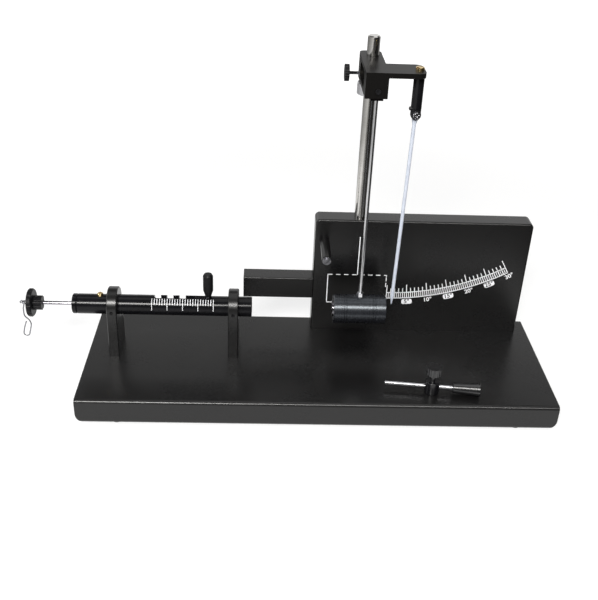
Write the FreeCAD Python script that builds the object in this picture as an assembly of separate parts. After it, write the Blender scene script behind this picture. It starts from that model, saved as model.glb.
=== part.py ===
"""Ballistic pendulum: spring launcher, swinging bob, trailing pointer and printed arc panel.

The origin is the centre of the base footprint on the surface it stands on.
X runs along the line of fire, Y goes from the front to the panel, Z is up.
Lengths are in millimetres.
"""

import math
import os

import FreeCAD
import Part

V = FreeCAD.Vector
X_DIR = V(1, 0, 0)
Y_DIR = V(0, 1, 0)
Z_DIR = V(0, 0, 1)
OVER = 1.0
HEX_SIDES = 6

# Base tray, folded from sheet
BASE_LENGTH = 503.0
BASE_DEPTH = 174.0
BASE_HEIGHT = 28.4
SHEET = 1.5
FOLD_RADIUS = 4.0
FLANGE_CORNER_RADIUS = 11.0
LIP_WIDTH = 17.0
FOOT_RADIUS = 5.5
FOOT_RISE = 2.0
FOOT_INSET = 41.5
BASE_TOP = FOOT_RISE + BASE_HEIGHT

# Line of fire
PANEL_SET_BACK = 27.8
LAUNCH_BEFORE_PANEL = 43.2
PANEL_FRONT = BASE_DEPTH / 2 - PANEL_SET_BACK
LAUNCH_Y = PANEL_FRONT - LAUNCH_BEFORE_PANEL
AXIS_ABOVE_BASE = 54.1
AXIS_Z = BASE_TOP + AXIS_ABOVE_BASE

# Fits
RUNNING_FIT = 0.05
PISTON_FIT = 0.1
SLIDE_FIT = 0.08

# Scale panel, folded and open behind
PANEL_LEFT = -4.2
PANEL_WIDTH = 241.7
PANEL_THICKNESS = 21.6
PANEL_HEIGHT = 140.6
PANEL_CORNER_RADIUS = 5.0
PANEL_FOLD_RADIUS = 2.0
PANEL_TOP = BASE_TOP + PANEL_HEIGHT
SIDE_BAR_LENGTH = 78.8
SIDE_BAR_HEIGHT = 25.6

# Column and what it carries
COLUMN_RADIUS = 6.35
COLUMN_X = 45.0
COLUMN_SET_BACK = 10.8
COLUMN_HEIGHT = 338.0
COLUMN_BEVEL = 1.0
COLUMN_BOLT_RADIUS = 3.0
COLUMN_BOLT_DEPTH = 16.0
COLUMN_Y = PANEL_FRONT + COLUMN_SET_BACK
COLUMN_TOP = BASE_TOP + COLUMN_HEIGHT

# Stop collar under the block
COLLAR_RADIUS = 13.5
COLLAR_HEIGHT = 12.0
COLLAR_SLIT = 1.4
COLLAR_SCREW_RADIUS = 1.5
COLLAR_GAP = 2.0

# Pendulum block with its side arm
BLOCK_WIDTH = 22.0
BLOCK_LEFT = 33.0
BLOCK_BEFORE_PENDULUM = 9.0
BLOCK_DEPTH = 82.0
BLOCK_HEIGHT = 25.0
BLOCK_BOTTOM_ABOVE_BASE = 293.0
BLOCK_BACK_RADIUS = 6.0
RECESS_DEPTH = 5.0
RECESS_RADIUS = 8.5
RECESS_LENGTH = 42.0
RECESS_FROM_FRONT = 17.0
ARM_LENGTH = 36.0
ARM_DEPTH = 34.0
ARM_THICKNESS = 5.0
ARM_CORNER_RADIUS = 8.0
BLOCK_FRONT = LAUNCH_Y - BLOCK_BEFORE_PENDULUM
BLOCK_BOTTOM = BASE_TOP + BLOCK_BOTTOM_ABOVE_BASE
BLOCK_TOP = BLOCK_BOTTOM + BLOCK_HEIGHT
BLOCK_RIGHT = BLOCK_LEFT + BLOCK_WIDTH
ARM_END = BLOCK_RIGHT + ARM_LENGTH

# Clamp screw of the block
CLAMP_SCREW_RADIUS = 1.8
CLAMP_KNOB_RADIUS = 8.5
CLAMP_KNOB_WIDTH = 4.6
CLAMP_KNOB_GAP = 10.7
CLAMP_KNOB_FLUTES = 20
CLAMP_KNOB_FLUTE_RADIUS = 1.2
CLAMP_KNOB_FLUTE_DEPTH = 0.5
CLAMP_Z_ABOVE_BOTTOM = 7.0

# Pendulum
PENDULUM_X = 45.5
PIVOT_ABOVE_BOTTOM = 7.0
PIVOT_RADIUS = 1.5
PIVOT_HEAD_RADIUS = 2.6
PIVOT_HEAD_HEIGHT = 1.6
PIVOT_THREAD = 7.0
HUB_WIDTH = 12.4
HUB_THICKNESS = 8.0
HUB_DROP = 10.5
HUB_SIDE_GAP = 0.3
HUB_SWING_GAP = 2.3
ROD_RADIUS = 1.9
ROD_IN_HUB = 6.0
ROD_IN_BOB = 6.0
BOB_RADIUS = 16.0
BOB_LENGTH = 57.2
BOB_BORE_RADIUS = 9.0
BOB_BORE_DEPTH = 35.6
BOB_CHAMFER = 0.8
BOB_GROOVE_NEAR = 11.6
BOB_GROOVE_SPACING = 2.4
BOB_GROOVE_WIDTH = 0.6
BOB_GROOVE_DEPTH = 0.4
LINER_WALL = 1.0
LINER_PROUD = 1.2
NUT_RADIUS = 4.0
NUT_HEIGHT = 5.0
PIVOT_Z = BLOCK_BOTTOM + PIVOT_ABOVE_BOTTOM
BOB_TOP = AXIS_Z + BOB_RADIUS
BOB_LEFT = PENDULUM_X - BOB_LENGTH / 2

# Trailing pointer under the end of the arm
POINTER_BAR_RADIUS = 5.3
POINTER_BAR_FROM_END = 5.2
POINTER_BAR_FROM_FRONT = 15.0
POINTER_SHOULDER_RADIUS = 6.3
POINTER_SHOULDER_HEIGHT = 2.0
POINTER_PIVOT_DROP = 38.2
POINTER_SHANK_RADIUS = 1.5
POINTER_HEAD_RADIUS = 3.5
POINTER_HEAD_HEIGHT = 2.8
POINTER_HEAD_BEVEL = 0.6
POINTER_WASHER_RADIUS = 4.8
POINTER_WASHER_HEIGHT = 0.7
POINTER_NUT_RADIUS = 3.2
POINTER_NUT_HEIGHT = 2.4
POINTER_SLOT = 3.4
NEEDLE_EYE_THICKNESS = 3.0
NEEDLE_EYE_RADIUS = 4.2
NEEDLE_CONE_START = 6.0
NEEDLE_CONE_LENGTH = 5.0
NEEDLE_CONE_RADIUS = 3.1
NEEDLE_RADIUS = 1.9
NEEDLE_LENGTH = 217.4
NEEDLE_TIP_LENGTH = 9.0
NEEDLE_TIP_RADIUS = 0.4
NEEDLE_LEAN_DEG = 1.13
ARM_SCREW_RADIUS = 2.0
ARM_SCREW_DEPTH = 11.0
ARM_SCREW_HEAD_RADIUS = 4.25
ARM_SCREW_HEAD_HEIGHT = 3.0
ARM_SCREW_BEVEL = 0.75
POINTER_X = ARM_END - POINTER_BAR_FROM_END
POINTER_Y = BLOCK_FRONT + POINTER_BAR_FROM_FRONT
POINTER_Z = BLOCK_TOP - ARM_THICKNESS - POINTER_PIVOT_DROP

# Stop post for the back swing
POST_X = 6.4
POST_ABOVE_BASE = 116.0
POST_RADIUS = 5.2
POST_BEFORE_BOB_AXIS = 6.0
POST_SCREW_RADIUS = 2.0
POST_HEAD_RADIUS = 3.4
POST_HEAD_HEIGHT = 2.4
POST_WASHER_RADIUS = 4.6
POST_WASHER_HEIGHT = 0.8
POST_FRONT = LAUNCH_Y - POST_BEFORE_BOB_AXIS
POST_Z = BASE_TOP + POST_ABOVE_BASE

# Launcher barrel and its brackets
MUZZLE_X = -72.3
BARREL_LENGTH = 189.1
BARREL_RADIUS = 11.0
BORE_RADIUS = 7.1
CAP_LENGTH = 5.0
CAP_PLUG_LENGTH = 31.4
MUZZLE_CHAMFER = 0.8
BARREL_REAR = MUZZLE_X - BARREL_LENGTH
PLUG_FRONT = BARREL_REAR + CAP_PLUG_LENGTH
BRACKET_THICKNESS = 11.0
BRACKET_FOOT_WIDTH = 42.0
BRACKET_TOP_RADIUS = 19.6
BRACKET_EDGE = 0.8
LEFT_BRACKET_X = -227.9
RIGHT_BRACKET_X = -97.8
SET_SCREW_RADIUS = 2.0
SET_SCREW_SOCKET_RADIUS = 1.2
BARREL_SCREW_X = -236.5
BARREL_SCREW_RADIUS = 1.5
BARREL_SCREW_HEAD_RADIUS = 3.2
BARREL_SCREW_HEAD_HEIGHT = 3.6
BARREL_SCREW_BEVEL = 1.2
BARREL_SCREW_SEAT = 10.4
BARREL_SCREW_TIP = 4.0

# Slot, latch notches and bolt
HANDLE_X = -119.8
SLOT_WIDTH = 6.4
SLOT_END_GAP = 3.6
NOTCH_WIDTH = 7.0
NOTCH_ANGLE_DEG = 80.0
FIRST_NOTCH_PULL = 28.4
NOTCH_PITCH = 13.4
NOTCH_COUNT = 3
PISTON_LENGTH = 26.0
PISTON_AHEAD = 10.0
PISTON_FRONT_X = HANDLE_X + PISTON_AHEAD
PISTON_REAR_X = PISTON_FRONT_X - PISTON_LENGTH
BOLT_PIN_RADIUS = 2.3
BOLT_PIN_HEIGHT = 24.0
GRIP_FOOT = 12.0
GRIP_FOOT_RADIUS = 3.0
GRIP_TAPER_END = 20.0
GRIP_RADIUS = 5.5
GRIP_TOP = 39.8
GRIP_DOME = 2.4
GRIP_DOME_FLAT_RADIUS = 4.0

# Launch spring
SPRING_RADIUS = 5.0
SPRING_WIRE_RADIUS = 0.6
SPRING_TURNS = 8.0
SPRING_WIRE_SIDES = 4
WIRE_SIDES = 8

# Plunger rod, knob, eye and hook
PLUNGER_RADIUS = 2.1
PLUNGER_IN_PISTON = 8.0
KNOB_RADIUS = 15.5
KNOB_WIDTH = 5.6
KNOB_FACE_X = -314.3
KNOB_EDGE = 1.2
KNOB_LOBES = 10
KNOB_LOBE_RADIUS = 4.0
KNOB_LOBE_DEPTH = 0.9
HUB_BOSS_RADIUS = 7.85
HUB_BOSS_LENGTH = 9.2
HUB_BOSS_LOBES = 8
HUB_BOSS_LOBE_RADIUS = 1.7
HUB_BOSS_LOBE_DEPTH = 1.0
PLUNGER_IN_KNOB = 8.3
EYE_RING_RADIUS = 3.0
EYE_WIRE_RADIUS = 0.75
EYE_SHANK_RADIUS = 1.0
EYE_SHANK_DEPTH = 5.0
EYE_NECK = 0.45
EYE_BEND_RADIUS = 0.8
EYE_LOOP_DEG = 312.0
HOOK_WIRE_RADIUS = 0.7
HOOK_LOOP_RADIUS = 2.1
HOOK_LOOP_START_DEG = 210.0
HOOK_LOOP_TURN_DEG = -225.0
HOOK_NECK = 6.5
HOOK_NECK_BEND = 2.0
HOOK_NECK_TURN_DEG = 15.0
HOOK_DROP = 5.8
HOOK_SHOULDER = 6.0
HOOK_SHOULDER_TURN_DEG = 50.0
HOOK_BELLY = 12.1
HOOK_BELLY_TURN_DEG = -65.0
HOOK_HEEL = 10.0
HOOK_TOE = 9.7
HOOK_TOE_TURN_DEG = -175.0
HOOK_TAIL = 15.4
HOOK_TAIL_TURN_DEG = -12.6
EYE_SWING = math.acos(EYE_BEND_RADIUS / (EYE_RING_RADIUS + EYE_BEND_RADIUS))
EYE_REACH = EYE_NECK + (EYE_RING_RADIUS + EYE_BEND_RADIUS) * math.sin(EYE_SWING) + EYE_RING_RADIUS
HOOK_X = KNOB_FACE_X - EYE_REACH

# Steel ball
BALL_RADIUS = 7.0

# Loading rod lying on the base
RAM_X = 70.0
RAM_FROM_FRONT = 30.2
RAM_Y = RAM_FROM_FRONT - BASE_DEPTH / 2
RAM_TURN_DEG = -6.07
RAM_LENGTH = 71.5
RAM_RADIUS = 2.25
RAM_BEVEL = 0.56
RAM_HANDLE_LENGTH = 28.9
RAM_HANDLE_SMALL_RADIUS = 3.6
RAM_HANDLE_BEVEL = 0.9
RAM_HANDLE_LARGE_RADIUS = 7.35
RAM_IN_HANDLE = 15.0
RAM_STOP_RADIUS = 7.5
RAM_STOP_LENGTH = 16.4
RAM_STOP_START = 41.8
RAM_KNOB_RADIUS = 8.0
RAM_KNOB_HEIGHT = 8.8
RAM_KNOB_GAP = 8.3
RAM_KNOB_FLUTES = 18
RAM_KNOB_FLUTE_RADIUS = 1.1
RAM_KNOB_FLUTE_DEPTH = 0.5
RAM_SCREW_RADIUS = 2.5
RAM_Z = BASE_TOP + RAM_STOP_RADIUS

# Fasteners from below
SCREW_RADIUS = 2.5
SCREW_DEPTH = 12.0
SCREW_HEAD_RADIUS = 4.5
SCREW_HEAD_HEIGHT = 3.0
BRACKET_SCREW_SPACING = 24.0
PANEL_SCREW_SPACING = 90.0
PANEL_SCREW_FIRST_X = 105.0
BOLT_HEAD_RADIUS = 5.8
BOLT_HEAD_HEIGHT = 4.0
BOLT_WASHER_RADIUS = 7.0
BOLT_WASHER_HEIGHT = 1.2

# Driver slots, width and depth as parts of the head's radius
DRIVER_SLOT_WIDTH = 0.36
DRIVER_SLOT_DEPTH = 0.33
DRIVER_SLOT_TURN_DEG = 35.0


def box(x0, x1, y0, y1, z0, z1):
    """Axis-aligned block between two corners."""
    return Part.makeBox(x1 - x0, y1 - y0, z1 - z0, V(x0, y0, z0))


def rod_x(radius, x0, x1, y, z):
    """Cylinder along X from x0 to x1."""
    return Part.makeCylinder(radius, x1 - x0, V(x0, y, z), X_DIR)


def rod_y(radius, y0, y1, x, z):
    """Cylinder along Y from y0 to y1."""
    return Part.makeCylinder(radius, y1 - y0, V(x, y0, z), Y_DIR)


def rod_z(radius, z0, z1, x, y):
    """Cylinder along Z from z0 to z1."""
    return Part.makeCylinder(radius, z1 - z0, V(x, y, z0), Z_DIR)


def edges_where(shape, test):
    """Edges of a shape whose middle point passes a test."""
    found = []
    for edge in shape.Edges:
        middle = edge.valueAt((edge.FirstParameter + edge.LastParameter) / 2)
        if test(edge, middle):
            found.append(edge)
    return found


def along(edge, axis):
    """True for a straight edge that runs along the given unit vector."""
    if not isinstance(edge.Curve, (Part.Line, Part.LineSegment)):
        return False
    return abs(abs(edge.tangentAt(edge.FirstParameter).dot(axis)) - 1) < 1e-6


def hexagon(corner_radius, height, base, direction):
    """Hexagonal prism standing on base and growing along direction."""
    points = []
    for k in range(HEX_SIDES + 1):
        angle = 2 * math.pi * k / HEX_SIDES
        points.append(V(corner_radius * math.cos(angle), corner_radius * math.sin(angle), 0))
    prism = Part.Face(Part.makePolygon(points)).extrude(Z_DIR * height)
    prism.Placement = FreeCAD.Placement(base, FreeCAD.Rotation(Z_DIR, direction))
    return prism


def fluted(radius, length, flutes, flute_radius, flute_depth, edge, x0, y, z):
    """Round grip along X with shallow flutes round its rim and bevelled edges."""
    body = rod_x(radius, x0, x0 + length, y, z)
    if edge:
        rims = edges_where(body, lambda e, m: isinstance(e.Curve, Part.Circle))
        body = body.makeChamfer(edge, rims)
    reach = radius + flute_radius - flute_depth
    for k in range(flutes):
        angle = math.radians(360.0 * k / flutes)
        cutter = rod_x(flute_radius, x0 - OVER, x0 + length + OVER,
                       y + reach * math.sin(angle), z + reach * math.cos(angle))
        body = body.cut(cutter)
    return body


def bracket_xs():
    """Left faces of the two barrel brackets."""
    return (LEFT_BRACKET_X, RIGHT_BRACKET_X)


def bracket_screw_points():
    """Screw centres under the two barrel brackets."""
    points = []
    for x in bracket_xs():
        for side in (-1, 1):
            points.append((x + BRACKET_THICKNESS / 2, LAUNCH_Y + side * BRACKET_SCREW_SPACING / 2))
    return points


def panel_screw_points():
    """Screw centres under the panel."""
    y = PANEL_FRONT + PANEL_THICKNESS / 2
    return [(PANEL_SCREW_FIRST_X, y), (PANEL_SCREW_FIRST_X + PANEL_SCREW_SPACING, y)]


def make_base_tray():
    """Folded tray: top sheet, front and rear flanges with rounded lower corners, inward lips."""
    half_l = BASE_LENGTH / 2
    half_d = BASE_DEPTH / 2
    outer = box(-half_l, half_l, -half_d, half_d, FOOT_RISE, BASE_TOP)
    outer = outer.makeFillet(FOLD_RADIUS, edges_where(outer, lambda e, m: along(e, X_DIR)))
    inner = box(-half_l, half_l, SHEET - half_d, half_d - SHEET, FOOT_RISE + SHEET, BASE_TOP - SHEET)
    inner = inner.makeFillet(FOLD_RADIUS - SHEET, edges_where(inner, lambda e, m: along(e, X_DIR)))
    tray = outer.cut(inner)
    lip = half_d - LIP_WIDTH
    tray = tray.cut(box(-half_l, half_l, -lip, lip, FOOT_RISE, FOOT_RISE + SHEET))
    r = FLANGE_CORNER_RADIUS
    for side in (-1, 1):
        x = side * (half_l - r)
        corner = box(min(x, x + side * (r + OVER)), max(x, x + side * (r + OVER)),
                     -half_d - OVER, half_d + OVER, FOOT_RISE - OVER, FOOT_RISE + r)
        corner = corner.cut(rod_y(r, -half_d - 2 * OVER, half_d + 2 * OVER, x, FOOT_RISE + r))
        tray = tray.cut(corner)
    for x, y in bracket_screw_points() + panel_screw_points():
        tray = tray.cut(rod_z(SCREW_RADIUS, BASE_TOP - SHEET - OVER, BASE_TOP + OVER, x, y))
    return tray.cut(rod_z(COLUMN_BOLT_RADIUS, BASE_TOP - SHEET - OVER, BASE_TOP + OVER, COLUMN_X, COLUMN_Y))


def make_rubber_feet():
    """Four round rubber feet under the lips."""
    y = BASE_DEPTH / 2 - FOLD_RADIUS - FOOT_RADIUS
    x = BASE_LENGTH / 2 - FOOT_INSET
    feet = [rod_z(FOOT_RADIUS, 0, FOOT_RISE, sx * x, sy * y) for sx in (-1, 1) for sy in (-1, 1)]
    return Part.makeCompound(feet)


def make_scale_panel():
    """Folded panel: front sheet with returns all round, open behind, column hole in its top."""
    left = PANEL_LEFT
    right = PANEL_LEFT + PANEL_WIDTH
    front = PANEL_FRONT
    back = front + PANEL_THICKNESS
    outer = box(left, right, front, back, BASE_TOP, PANEL_TOP)
    top_corners = edges_where(outer, lambda e, m: along(e, Y_DIR) and m.z > BASE_TOP + OVER)
    outer = outer.makeFillet(PANEL_CORNER_RADIUS, top_corners)
    front_rim = edges_where(outer, lambda e, m: abs(m.y - front) < 1e-4 and m.z > BASE_TOP + OVER)
    outer = outer.makeFillet(PANEL_FOLD_RADIUS, front_rim)
    inner = box(left + SHEET, right - SHEET, front + SHEET, back + OVER, BASE_TOP + SHEET, PANEL_TOP - SHEET)
    top_corners = edges_where(inner, lambda e, m: along(e, Y_DIR) and m.z > BASE_TOP + SHEET + OVER)
    inner = inner.makeFillet(PANEL_CORNER_RADIUS - SHEET, top_corners)
    panel = outer.cut(inner)
    panel = panel.cut(rod_z(COLUMN_RADIUS, BASE_TOP - OVER, PANEL_TOP + OVER, COLUMN_X, COLUMN_Y))
    for x, y in panel_screw_points():
        panel = panel.cut(rod_z(SCREW_RADIUS, BASE_TOP - OVER, BASE_TOP + SHEET + OVER, x, y))
    return panel.cut(rod_y(POST_SCREW_RADIUS, front - OVER, front + SHEET + OVER, POST_X, POST_Z))


def make_panel_side_bar():
    """Closed box section that runs on from the panel to the left at the height of the barrel."""
    z0 = AXIS_Z - SIDE_BAR_HEIGHT / 2
    bar = box(PANEL_LEFT - SIDE_BAR_LENGTH, PANEL_LEFT, PANEL_FRONT, PANEL_FRONT + PANEL_THICKNESS,
              z0, z0 + SIDE_BAR_HEIGHT)
    return bar.makeFillet(SHEET, edges_where(bar, lambda e, m: along(e, X_DIR)))


def make_base_screws():
    """Screws from below into the brackets and the panel."""
    screws = []
    for x, y in bracket_screw_points():
        shank = rod_z(SCREW_RADIUS, BASE_TOP - SHEET, BASE_TOP + SCREW_DEPTH, x, y)
        head = rod_z(SCREW_HEAD_RADIUS, BASE_TOP - SHEET - SCREW_HEAD_HEIGHT, BASE_TOP - SHEET, x, y)
        screws.append(shank.fuse(head).removeSplitter())
    for x, y in panel_screw_points():
        shank = rod_z(SCREW_RADIUS, BASE_TOP - SHEET, BASE_TOP + SHEET, x, y)
        head = rod_z(SCREW_HEAD_RADIUS, BASE_TOP - SHEET - SCREW_HEAD_HEIGHT, BASE_TOP - SHEET, x, y)
        nut = hexagon(SCREW_HEAD_RADIUS, SCREW_HEAD_HEIGHT, V(x, y, BASE_TOP + SHEET), Z_DIR)
        screws.append(shank.fuse(head).fuse(nut).removeSplitter())
    return Part.makeCompound(screws)


def make_column():
    """Chromed column with a bevelled top and a tapped foot."""
    column = rod_z(COLUMN_RADIUS, BASE_TOP, COLUMN_TOP, COLUMN_X, COLUMN_Y)
    rim = edges_where(column, lambda e, m: isinstance(e.Curve, Part.Circle) and m.z > COLUMN_TOP - OVER)
    column = column.makeChamfer(COLUMN_BEVEL, rim)
    return column.cut(rod_z(COLUMN_BOLT_RADIUS, BASE_TOP, BASE_TOP + COLUMN_BOLT_DEPTH, COLUMN_X, COLUMN_Y))


def make_column_bolt():
    """Hexagon bolt with its washer that holds the column from below."""
    under = BASE_TOP - SHEET
    shank = rod_z(COLUMN_BOLT_RADIUS, under, BASE_TOP + COLUMN_BOLT_DEPTH, COLUMN_X, COLUMN_Y)
    washer = rod_z(BOLT_WASHER_RADIUS, under - BOLT_WASHER_HEIGHT, under, COLUMN_X, COLUMN_Y)
    head_top = under - BOLT_WASHER_HEIGHT
    head = hexagon(BOLT_HEAD_RADIUS, BOLT_HEAD_HEIGHT, V(COLUMN_X, COLUMN_Y, head_top - BOLT_HEAD_HEIGHT), Z_DIR)
    return shank.fuse(washer).fuse(head).removeSplitter()


def make_stop_collar():
    """Split collar on the column that sets the height of the block."""
    top = BLOCK_BOTTOM - COLLAR_GAP
    bottom = top - COLLAR_HEIGHT
    collar = rod_z(COLLAR_RADIUS, bottom, top, COLUMN_X, COLUMN_Y)
    rims = edges_where(collar, lambda e, m: isinstance(e.Curve, Part.Circle))
    collar = collar.makeChamfer(COLUMN_BEVEL / 2, rims)
    collar = collar.cut(rod_z(COLUMN_RADIUS + SLIDE_FIT, bottom - OVER, top + OVER, COLUMN_X, COLUMN_Y))
    slit = box(COLUMN_X, COLUMN_X + COLLAR_RADIUS + OVER, COLUMN_Y - COLLAR_SLIT / 2,
               COLUMN_Y + COLLAR_SLIT / 2, bottom - OVER, top + OVER)
    collar = collar.cut(slit)
    middle = (top + bottom) / 2
    tapped = rod_y(COLLAR_SCREW_RADIUS, COLUMN_Y - COLLAR_RADIUS - OVER, COLUMN_Y, COLUMN_X, middle)
    return collar.cut(tapped)


def make_stop_collar_screw():
    """Socket set screw in the front of the stop collar."""
    middle = BLOCK_BOTTOM - COLLAR_GAP - COLLAR_HEIGHT / 2
    front = COLUMN_Y - COLLAR_RADIUS + COLLAR_SCREW_RADIUS
    screw = rod_y(COLLAR_SCREW_RADIUS, front, COLUMN_Y - COLUMN_RADIUS - SLIDE_FIT, COLUMN_X, middle)
    socket = hexagon(COLLAR_SCREW_RADIUS / 2, COLLAR_SCREW_RADIUS, V(COLUMN_X, front, middle), Y_DIR)
    return screw.cut(socket)


def make_pendulum_block():
    """Block on the column with the pivot slot, an oval side recess and the arm for the pointer."""
    back = BLOCK_FRONT + BLOCK_DEPTH
    block = box(BLOCK_LEFT, BLOCK_RIGHT, BLOCK_FRONT, back, BLOCK_BOTTOM, BLOCK_TOP)
    block = block.makeFillet(BLOCK_BACK_RADIUS,
                             edges_where(block, lambda e, m: along(e, Z_DIR) and m.y > back - OVER))
    arm = box(BLOCK_RIGHT - OVER, ARM_END, BLOCK_FRONT, BLOCK_FRONT + ARM_DEPTH,
              BLOCK_TOP - ARM_THICKNESS, BLOCK_TOP)
    arm = arm.makeFillet(ARM_CORNER_RADIUS,
                         edges_where(arm, lambda e, m: along(e, Z_DIR) and m.x > ARM_END - OVER))
    block = block.fuse(arm).removeSplitter()
    block = block.cut(rod_z(COLUMN_RADIUS + SLIDE_FIT, BLOCK_BOTTOM - OVER, BLOCK_TOP + OVER,
                            COLUMN_X, COLUMN_Y))
    half_slot = HUB_THICKNESS / 2 + HUB_SIDE_GAP
    slot = box(PENDULUM_X - HUB_WIDTH / 2 - HUB_SWING_GAP, BLOCK_RIGHT + OVER, LAUNCH_Y - half_slot,
               LAUNCH_Y + half_slot, BLOCK_BOTTOM - OVER, PIVOT_Z + HUB_WIDTH / 2 + OVER)
    block = block.cut(slot)
    y0 = BLOCK_FRONT + RECESS_FROM_FRONT
    z = (BLOCK_BOTTOM + BLOCK_TOP) / 2
    depth = BLOCK_LEFT + RECESS_DEPTH
    near = y0 + RECESS_RADIUS
    far = y0 + RECESS_LENGTH - RECESS_RADIUS
    recess = rod_x(RECESS_RADIUS, BLOCK_LEFT - OVER, depth, near, z)
    recess = recess.fuse(rod_x(RECESS_RADIUS, BLOCK_LEFT - OVER, depth, far, z))
    recess = recess.fuse(box(BLOCK_LEFT - OVER, depth, near, far, z - RECESS_RADIUS, z + RECESS_RADIUS))
    block = block.cut(recess)
    block = block.cut(rod_x(CLAMP_SCREW_RADIUS + RUNNING_FIT, BLOCK_LEFT - OVER, COLUMN_X, COLUMN_Y,
                            BLOCK_BOTTOM + CLAMP_Z_ABOVE_BOTTOM))
    block = block.cut(rod_y(PIVOT_RADIUS, BLOCK_FRONT - OVER, LAUNCH_Y + half_slot + PIVOT_THREAD,
                            PENDULUM_X, PIVOT_Z))
    return block.cut(rod_z(ARM_SCREW_RADIUS, BLOCK_TOP - ARM_THICKNESS - OVER, BLOCK_TOP + OVER,
                           POINTER_X, POINTER_Y))


def make_clamp_screw():
    """Screw that clamps the block to the column."""
    tip = COLUMN_X - COLUMN_RADIUS - SLIDE_FIT
    start = BLOCK_LEFT - CLAMP_KNOB_GAP - CLAMP_KNOB_WIDTH / 2
    return rod_x(CLAMP_SCREW_RADIUS, start, tip, COLUMN_Y, BLOCK_BOTTOM + CLAMP_Z_ABOVE_BOTTOM)


def make_clamp_knob():
    """Knurled knob of the clamp screw."""
    z = BLOCK_BOTTOM + CLAMP_Z_ABOVE_BOTTOM
    right = BLOCK_LEFT - CLAMP_KNOB_GAP
    knob = fluted(CLAMP_KNOB_RADIUS, CLAMP_KNOB_WIDTH, CLAMP_KNOB_FLUTES, CLAMP_KNOB_FLUTE_RADIUS,
                  CLAMP_KNOB_FLUTE_DEPTH, 0, right - CLAMP_KNOB_WIDTH, COLUMN_Y, z)
    return knob.cut(rod_x(CLAMP_SCREW_RADIUS, right - CLAMP_KNOB_WIDTH / 2, right + OVER, COLUMN_Y, z))


def make_pendulum_pivot():
    """Screw across the slot on which the pendulum swings."""
    half_slot = HUB_THICKNESS / 2 + HUB_SIDE_GAP
    shank = rod_y(PIVOT_RADIUS, BLOCK_FRONT, LAUNCH_Y + half_slot + PIVOT_THREAD, PENDULUM_X, PIVOT_Z)
    head = rod_y(PIVOT_HEAD_RADIUS, BLOCK_FRONT - PIVOT_HEAD_HEIGHT, BLOCK_FRONT, PENDULUM_X, PIVOT_Z)
    front = BLOCK_FRONT - PIVOT_HEAD_HEIGHT
    socket = hexagon(PIVOT_RADIUS, PIVOT_HEAD_HEIGHT / 2, V(PENDULUM_X, front, PIVOT_Z), Y_DIR)
    return shank.fuse(head).removeSplitter().cut(socket)


def make_pendulum_hub():
    """Small hanger that turns on the pivot and holds the rod."""
    y0 = LAUNCH_Y - HUB_THICKNESS / 2
    y1 = LAUNCH_Y + HUB_THICKNESS / 2
    half = HUB_WIDTH / 2
    hub = rod_y(half, y0, y1, PENDULUM_X, PIVOT_Z)
    hub = hub.fuse(box(PENDULUM_X - half, PENDULUM_X + half, y0, y1, PIVOT_Z - HUB_DROP, PIVOT_Z))
    hub = hub.removeSplitter()
    hub = hub.cut(rod_y(PIVOT_RADIUS + RUNNING_FIT, y0 - OVER, y1 + OVER, PENDULUM_X, PIVOT_Z))
    foot = PIVOT_Z - HUB_DROP
    return hub.cut(rod_z(ROD_RADIUS, foot - OVER, foot + ROD_IN_HUB, PENDULUM_X, LAUNCH_Y))


def make_pendulum_rod():
    """Chromed pendulum rod, screwed into the hanger and the bob."""
    return rod_z(ROD_RADIUS, BOB_TOP - ROD_IN_BOB, PIVOT_Z - HUB_DROP + ROD_IN_HUB, PENDULUM_X, LAUNCH_Y)


def make_rod_nut():
    """Lock nut where the rod enters the bob."""
    seat = BOB_TOP - BOB_GROOVE_DEPTH
    nut = hexagon(NUT_RADIUS, NUT_HEIGHT + BOB_GROOVE_DEPTH, V(PENDULUM_X, LAUNCH_Y, seat), Z_DIR)
    return nut.cut(rod_z(ROD_RADIUS, seat - OVER, seat + NUT_HEIGHT + OVER, PENDULUM_X, LAUNCH_Y))


def make_bob():
    """Bob with a catching bore at the launcher end and pairs of V grooves near both ends."""
    right = BOB_LEFT + BOB_LENGTH
    bob = rod_x(BOB_RADIUS, BOB_LEFT, right, LAUNCH_Y, AXIS_Z)
    bob = bob.makeChamfer(BOB_CHAMFER, edges_where(bob, lambda e, m: isinstance(e.Curve, Part.Circle)))
    bob = bob.cut(rod_x(BOB_BORE_RADIUS, BOB_LEFT - OVER, BOB_LEFT + BOB_BORE_DEPTH, LAUNCH_Y, AXIS_Z))
    for near in (BOB_GROOVE_NEAR, BOB_GROOVE_NEAR + BOB_GROOVE_SPACING):
        for middle in (BOB_LEFT + near, right - near):
            bob = bob.cut(groove_ring(middle))
    bob = bob.cut(rod_z(NUT_RADIUS, BOB_TOP - BOB_GROOVE_DEPTH, BOB_TOP + OVER, PENDULUM_X, LAUNCH_Y))
    return bob.cut(rod_z(ROD_RADIUS, BOB_TOP - ROD_IN_BOB, BOB_TOP + OVER, PENDULUM_X, LAUNCH_Y))


def groove_ring(middle):
    """Ring of triangular section that cuts one V groove into the bob."""
    half = BOB_GROOVE_WIDTH / 2
    reach = half + OVER * half / BOB_GROOVE_DEPTH
    rim = AXIS_Z + BOB_RADIUS + OVER
    bottom = V(middle, LAUNCH_Y, AXIS_Z + BOB_RADIUS - BOB_GROOVE_DEPTH)
    left = V(middle - reach, LAUNCH_Y, rim)
    section = Part.Face(Part.makePolygon([left, bottom, V(middle + reach, LAUNCH_Y, rim), left]))
    return section.revolve(V(middle, LAUNCH_Y, AXIS_Z), X_DIR, 360)


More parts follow.
